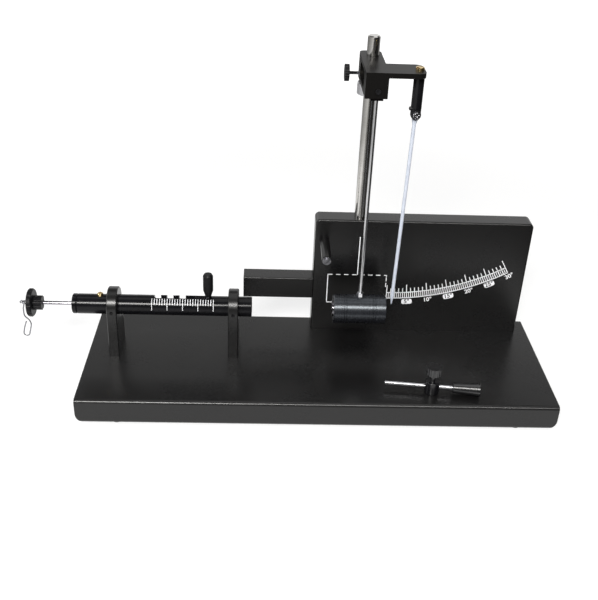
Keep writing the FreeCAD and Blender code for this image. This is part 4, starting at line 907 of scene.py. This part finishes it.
@dataclass
class Launcher:
    """Spring launcher: barrel with its printed ticks, brackets, bolt, plunger, knob and hook.

    Attributes:
        axis_yz: Y and Z of the bore.
        radius: Outer radius of the barrel.
        first_tick: X of the first long tick.
        long_pitch: Distance between long ticks.
        parts: Short divisions between two long ticks.
        long_ticks: Number of long ticks.
        angles: Start of the ticks and end of the short and of the long ones, from the top towards
            the front.
        ink: Thickness of the ink.
        tick_width: Width of a tick.
        tick_cuts: Cuts across each tick.
        rest_length: Length of the spring at rest; not used.
        pull: Travel of the plunger; not used.
    """

    axis_yz: Pair = (16.0, 84.5)
    radius: float = 11.0
    first_tick: float = -180.4
    long_pitch: float = 16.6
    parts: int = 6
    long_ticks: int = 5
    angles: Triple = (22.4, 60.0, 93.0)
    ink: float = 0.05
    tick_width: float = 0.62
    tick_cuts: int = 12
    rest_length: float = 95.0
    pull: float = 55.2

    def ticks(self) -> BMesh:
        """White ticks that wrap round the front of the barrel."""
        bm = bmesh.new()
        y, z = self.axis_yz
        for k in range((self.long_ticks - 1) * self.parts + 1):
            x = self.first_tick + k * self.long_pitch / self.parts
            start = self.angles[0]
            end = self.angles[2] if k % self.parts == 0 else self.angles[1]

            def place(p: Vector) -> Vector:
                """Bends a straight bar round the barrel."""
                a = math.radians(start + (p.x + 0.5) * (end - start))
                r = self.radius + (p.z + 0.5) * self.ink
                return Vector((x + p.y * self.tick_width, y - r * math.sin(a), z + r * math.cos(a))) * MM
            bar(bm, self.tick_cuts, place)
        return bm

    def spring(self) -> bpy.types.Object:
        """Launch spring, on a mesh of its own."""
        piece = dressed("launch_spring", ZINC, Body.FRAME, 0.0)
        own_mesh(piece)
        return piece

    def build(self) -> None:
        """Makes the launcher's pieces."""
        dressed("barrel_tube", BARREL_COAT, Body.FRAME, 0.15)
        placed("barrel_ticks", self.ticks(), WHITE_INK, Body.FRAME)
        dressed("barrel_end_cap", BARREL_COAT, Body.FRAME, 0.3)
        dressed("barrel_screw", BRASS, Body.FRAME, 0.2)
        dressed("bracket_left", POWDER, Body.FRAME, 0.3)
        dressed("bracket_right", POWDER, Body.FRAME, 0.3)
        dressed("bracket_set_screws", BLACKENED, Body.FRAME, 0.1)
        self.spring()
        dressed("piston", ZINC, Body.PLUNGER, 0.1)
        dressed("plunger_rod", PLUNGER_CHROME, Body.PLUNGER, 0.1)
        dressed("bolt_pin", ZINC, Body.PLUNGER, 0.1)
        dressed("bolt_grip", BLACK_PLASTIC, Body.PLUNGER, 0.6, 20.0, 3)
        dressed("plunger_knob", BLACK_PLASTIC, Body.PLUNGER, 0.7, 32.0, 3)
        dressed("hook_eye", ZINC, Body.PLUNGER, 0.0)
        dressed("s_hook", ZINC, Body.HOOK, 0.0)
        dressed("steel_ball", BRIGHT_CHROME, Body.BALL, 0.0)


@dataclass
class LoadingRod:
    """Loose loading rod with its depth stop.

    Attributes:
        start: Free end of the rod's axis.
        turn_deg: Turn of the rod about the vertical.
        rod_radius: Radius of the rod.
        rod_end: Length of the bare rod.
        handle: Length, small and large radius of the handle.
        socket: Depth of the rod in the handle.
        stop_at: Distance of the stop's middle from the free end.
        stop: Radius and height of the stop.
        rounding: Width of the softened edges.
        sharp_deg: Angle past which an edge is softened.
        grip: Clearance of the rod in the handle.
        slide: Clearance of the rod in the stop.
    """

    start: Triple = (70.0, -56.8, 37.9)
    turn_deg: float = -6.07
    rod_radius: float = 2.25
    rod_end: float = 71.5
    handle: Triple = (28.9, 5.2, 7.3)
    socket: float = 15.0
    stop_at: float = 50.0
    stop: Pair = (7.7, 15.0)
    rounding: float = 0.8
    sharp_deg: float = 50.0
    grip: float = 0.02
    slide: float = 0.1

    @property
    def along(self) -> Vector:
        """Direction of the rod, from its free end to the handle."""
        turn = math.radians(self.turn_deg)
        return Vector((math.cos(turn), math.sin(turn), 0.0))

    def make_handle(self) -> None:
        """Tapered handle with rounded ends, bored for the rod."""
        length, small, large = self.handle
        inner = self.rod_radius + self.grip
        profile = [(self.socket, 0.0), (self.socket, inner), (0.0, inner), (0.0, small), (length, large),
                   (length, 0.0)]
        mesh = turned(profile, Vector(self.start) + self.along * self.rod_end, self.along)
        soften(mesh, self.rounding, self.sharp_deg, 4)
        placed("loading_rod_handle", mesh, GLOSS_PLASTIC, Body.LOADING_ROD, ["ram_handle"])

    def make_stop(self) -> None:
        """Upright round stop that stands on the base, with the rod through it and the screw in its top."""
        radius, height = self.stop
        middle = Vector(self.start) + self.along * self.stop_at
        foot = Vector((middle.x, middle.y, middle.z - height / 2))
        body = turned([(0.0, 0.0), (0.0, radius), (height, radius), (height, 0.0)], foot, Axis.Z.vector)
        soften(body, self.rounding, self.sharp_deg, 3)
        inner = self.rod_radius + self.slide
        start = middle - self.along * radius * 1.5
        profile = [(0.0, 0.0), (0.0, inner), (3 * radius, inner), (3 * radius, 0.0)]
        bore = turned(profile, start, self.along, 32)
        placed("depth_stop_body", cut_by(body, bore), STOP_COAT, Body.DEPTH_STOP, ["ram_stop"])

    def build(self) -> None:
        """Makes the loading rod's pieces."""
        dressed("ram_rod", BRIGHT_CHROME, Body.LOADING_ROD, 0.1)
        self.make_handle()
        self.make_stop()
        dressed("ram_stop_screw", GLOSS_PLASTIC, Body.DEPTH_STOP_THUMB, 0.3)


# Studio


@dataclass(frozen=True)
class SoftBox:
    """One soft lamp.

    Attributes:
        name: Name of the lamp.
        place: Its place, in metres.
        size: Width and height, in metres.
        watts: Its power.
        colour: Its colour.
        aim: Point it faces, in metres.
    """

    name: str
    place: Triple
    size: Pair
    watts: float
    colour: Triple = (1.0, 1.0, 1.0)
    aim: Triple = (0.0, 0.0, 0.1)

    def build(self) -> None:
        """Makes the lamp."""
        data = bpy.data.lights.new(self.name, "AREA")
        data.shape = "RECTANGLE"
        data.size, data.size_y = self.size
        data.energy = self.watts
        data.color = self.colour
        holder = linked(self.name, data)
        holder.location = self.place
        holder.rotation_mode = "QUATERNION"
        holder.rotation_quaternion = (Vector(self.aim) - Vector(self.place)).to_track_quat("-Z", "Y")


@dataclass
class Studio:
    """Pale floor, soft light and the camera.

    Attributes:
        camera_mm: Place of the camera.
        yaw: Turn of the camera to the right of +Y, in degrees.
        pitch: Tilt of the camera below the level, in degrees.
        roll: Turn of the camera about its own view, in degrees.
        focal_px: Focal length in pixels of a frame_px wide frame.
        sensor: Width of the camera's sensor.
        floor_lift: Light that the floor adds for the camera near the object.
        pool: Distances, in metres, over which the floor fades from what polished metal shows.
        dim: Brightness of the room round the camera.
        wall: Brightness that the left wall adds.
        backdrop_top: Heights between which the backdrop ends, as the Z of a direction.
        card_front: Y between which the dark card in front ends.
        card_right: X between which the dark card on the right starts.
        card_back: Y between which both cards end.
        card_fade: X over which the cards grow dark.
        card_depth: How much of the floor's light the cards take.
        gap_x: X of a gap between cards, where the floor shows again.
        gap_half: Distances from gap_x over which the gap ends.
        gap_share: Part of the card's depth that the gap gives back.
        lamps: The soft boxes.
    """

    camera_mm: Triple = (-57.9, -799.1, 572.4)
    yaw: float = 2.5945
    pitch: float = 30.3755
    roll: float = 2.4526
    focal_px: float = 864.53
    frame_px: float = 598.0
    sensor: float = 36.0
    floor_lift: float = 0.63
    pool: Pair = (0.4, 0.75)
    dim: float = 0.07
    wall: float = 0.42
    backdrop_top: Pair = (0.38, 0.62)
    card_front: Pair = (-0.24, -0.16)
    card_right: Pair = (0.27, 0.34)
    card_back: Pair = (0.25, 0.45)
    card_fade: Pair = (-0.36, 0.02)
    card_depth: float = 0.94
    gap_x: float = -0.01
    gap_half: Pair = (0.010, 0.026)
    gap_share: float = 0.8
    lamps: tuple[SoftBox, ...] = (
        SoftBox("key_box", (-0.55, -1.75, 1.45), (0.6, 0.5), 27.0, (1.0, 0.985, 0.96)),
        SoftBox("front_strip", (0.15, -1.7, 1.6), (1.9, 0.4), 35.0, (1.0, 0.985, 0.96)),
        SoftBox("side_box", (-1.3, -0.2, 1.0), (0.5, 0.5), 4.0, (0.95, 0.97, 1.0)),
        SoftBox("top_box", (0.2, 0.3, 2.1), (1.9, 1.5), 9.0, aim=(0.0, 0.0, 0.0)))

    def camera(self) -> None:
        """Makes the camera at the photograph's place."""
        y, p, r = (math.radians(a) for a in (self.yaw, self.pitch, self.roll))
        ahead = Vector((math.sin(y) * math.cos(p), math.cos(y) * math.cos(p), -math.sin(p)))
        level = Vector((math.cos(y), -math.sin(y), 0.0))
        upright = level.cross(ahead)
        right = level * math.cos(r) + upright * math.sin(r)
        up = upright * math.cos(r) - level * math.sin(r)
        data = bpy.data.cameras.new("camera")
        data.sensor_fit = "HORIZONTAL"
        data.sensor_width = self.sensor
        data.lens = self.focal_px / self.frame_px * self.sensor
        data.clip_start = 0.01
        data.clip_end = 50.0
        holder = linked("camera", data)
        matrix = Matrix((right, up, -ahead)).transposed().to_4x4()
        matrix.translation = Vector(self.camera_mm) * MM
        holder.matrix_world = matrix
        bpy.context.scene.camera = holder

    def room(self) -> None:
        """World: a white backdrop behind the object, a pale left wall and a dim room round the camera."""
        world = bpy.data.worlds.new("studio_room")
        bpy.context.scene.world = world
        world.use_nodes = True
        shade = Shade(world.node_tree)
        towards = shade.node("ShaderNodeTexCoord", out="Generated")
        across = shade.node("ShaderNodeSeparateXYZ", {}, {0: towards})
        away, height = (Sock(shade, across.out.node.outputs[name]) for name in "YZ")
        backdrop = (away * 0.91 - across * 0.42).smooth_step(0.0, 0.5)
        behind = backdrop * (1.0 - height.smooth_step(*self.backdrop_top))
        left = 1.0 - across.smooth_step(-1.0, -0.3)
        level = self.dim + left * (1.0 - behind) * self.wall + behind * (1.0 - self.dim)
        room = shade.node("ShaderNodeBackground", {}, {"Color": (1.0, 0.99, 0.97, 1.0), "Strength": level})
        white = shade.node("ShaderNodeBackground", {}, {"Color": (1.0, 1.0, 1.0, 1.0), "Strength": 1.0})
        camera, clear, glossy = map(shade.ray, ("Is Camera Ray", "Is Transmission Ray", "Is Glossy Ray"))
        seen = (camera + clear + glossy * behind).maths("MINIMUM", 1.0)
        both = shade.node("ShaderNodeMixShader", {}, {0: seen, 1: room, 2: white})
        shade.node("ShaderNodeOutputWorld", {}, {"Surface": both})

    def card(self, shade: Shade, where: Sock) -> Sock:
        """Dark cards that only reflections see, on the floor in front of the object and to its right.

        Args:
            shade: Tree of the floor's material.
            where: Object coordinates of the floor.

        Returns:
            1 where the card hides the floor, 0 where the floor shows.
        """
        across = shade.node("ShaderNodeSeparateXYZ", {}, {0: where})
        depth = Sock(shade, across.out.node.outputs["Y"])
        front = 1.0 - depth.smooth_step(*self.card_front)
        right = across.smooth_step(*self.card_right)
        zone = front.maths("MAXIMUM", right) * (1.0 - depth.smooth_step(*self.card_back))
        fade = across.smooth_step(*self.card_fade) * self.card_depth
        gap = (1.0 - (across - self.gap_x).maths("ABSOLUTE").smooth_step(*self.gap_half)) * self.gap_share
        return zone * fade * (1.0 - gap)

    def floor(self) -> None:
        """Large pale floor, lifted to white where the camera sees it in full light."""
        bm = bmesh.new()
        bmesh.ops.create_grid(bm, x_segments=4, y_segments=4, size=9.0)
        mesh = bpy.data.meshes.new("floor")
        bm.to_mesh(mesh)
        bm.free()
        holder = linked("floor", mesh)
        material = bpy.data.materials.new("pale_floor")
        material.use_nodes = True
        shade = Shade(material.node_tree)
        where = shade.coords()
        cloud = shade.noise(where, 300.0, 2.0)
        far = shade.node("ShaderNodeVectorMath", {"operation": "LENGTH"}, {0: where}, out="Value")
        camera, clear, glossy = map(shade.ray, ("Is Camera Ray", "Is Transmission Ray", "Is Glossy Ray"))
        keep = 1.0 - glossy * self.card(shade, where)
        near = 1.0 - far.smooth_step(*self.pool)
        seen = (camera + clear + glossy * near * keep).maths("MINIMUM", 1.0)
        lift = self.floor_lift + far.smooth_step(0.6, 1.6) * (1.0 - self.floor_lift)
        paper = shade.mixed(cloud, (0.43, 0.435, 0.44), (0.46, 0.46, 0.46))
        glow = shade.mixed(seen * lift, (0.0, 0.0, 0.0), (1.0, 1.0, 1.0))
        skin = shade.node("ShaderNodeBsdfPrincipled", {}, {
            "Base Color": shade.mixed(keep, (0.0, 0.0, 0.0), paper), "Roughness": 0.75,
            "Specular IOR Level": 0.1, "Emission Color": glow, "Emission Strength": 1.0})
        shade.node("ShaderNodeOutputMaterial", {}, {"Surface": skin})
        mesh.materials.append(material)

    def build(self) -> None:
        """Makes floor, light and camera."""
        bpy.context.scene.view_settings.view_transform = "Standard"
        self.floor()
        self.room()
        for lamp in self.lamps:
            lamp.build()
        self.camera()


def main() -> None:
    """Builds every sub-assembly in order."""
    logging.basicConfig(level=logging.INFO, format="%(message)s")
    for part in (BaseTray(), ScalePanel(), Column(), PivotBlock(), Pendulum(), TrailingPointer(), Launcher(),
                 LoadingRod(), Studio()):
        part.build()
        LOG.info("%s is built", type(part).__name__)


if __name__ == "__main__":
    main()
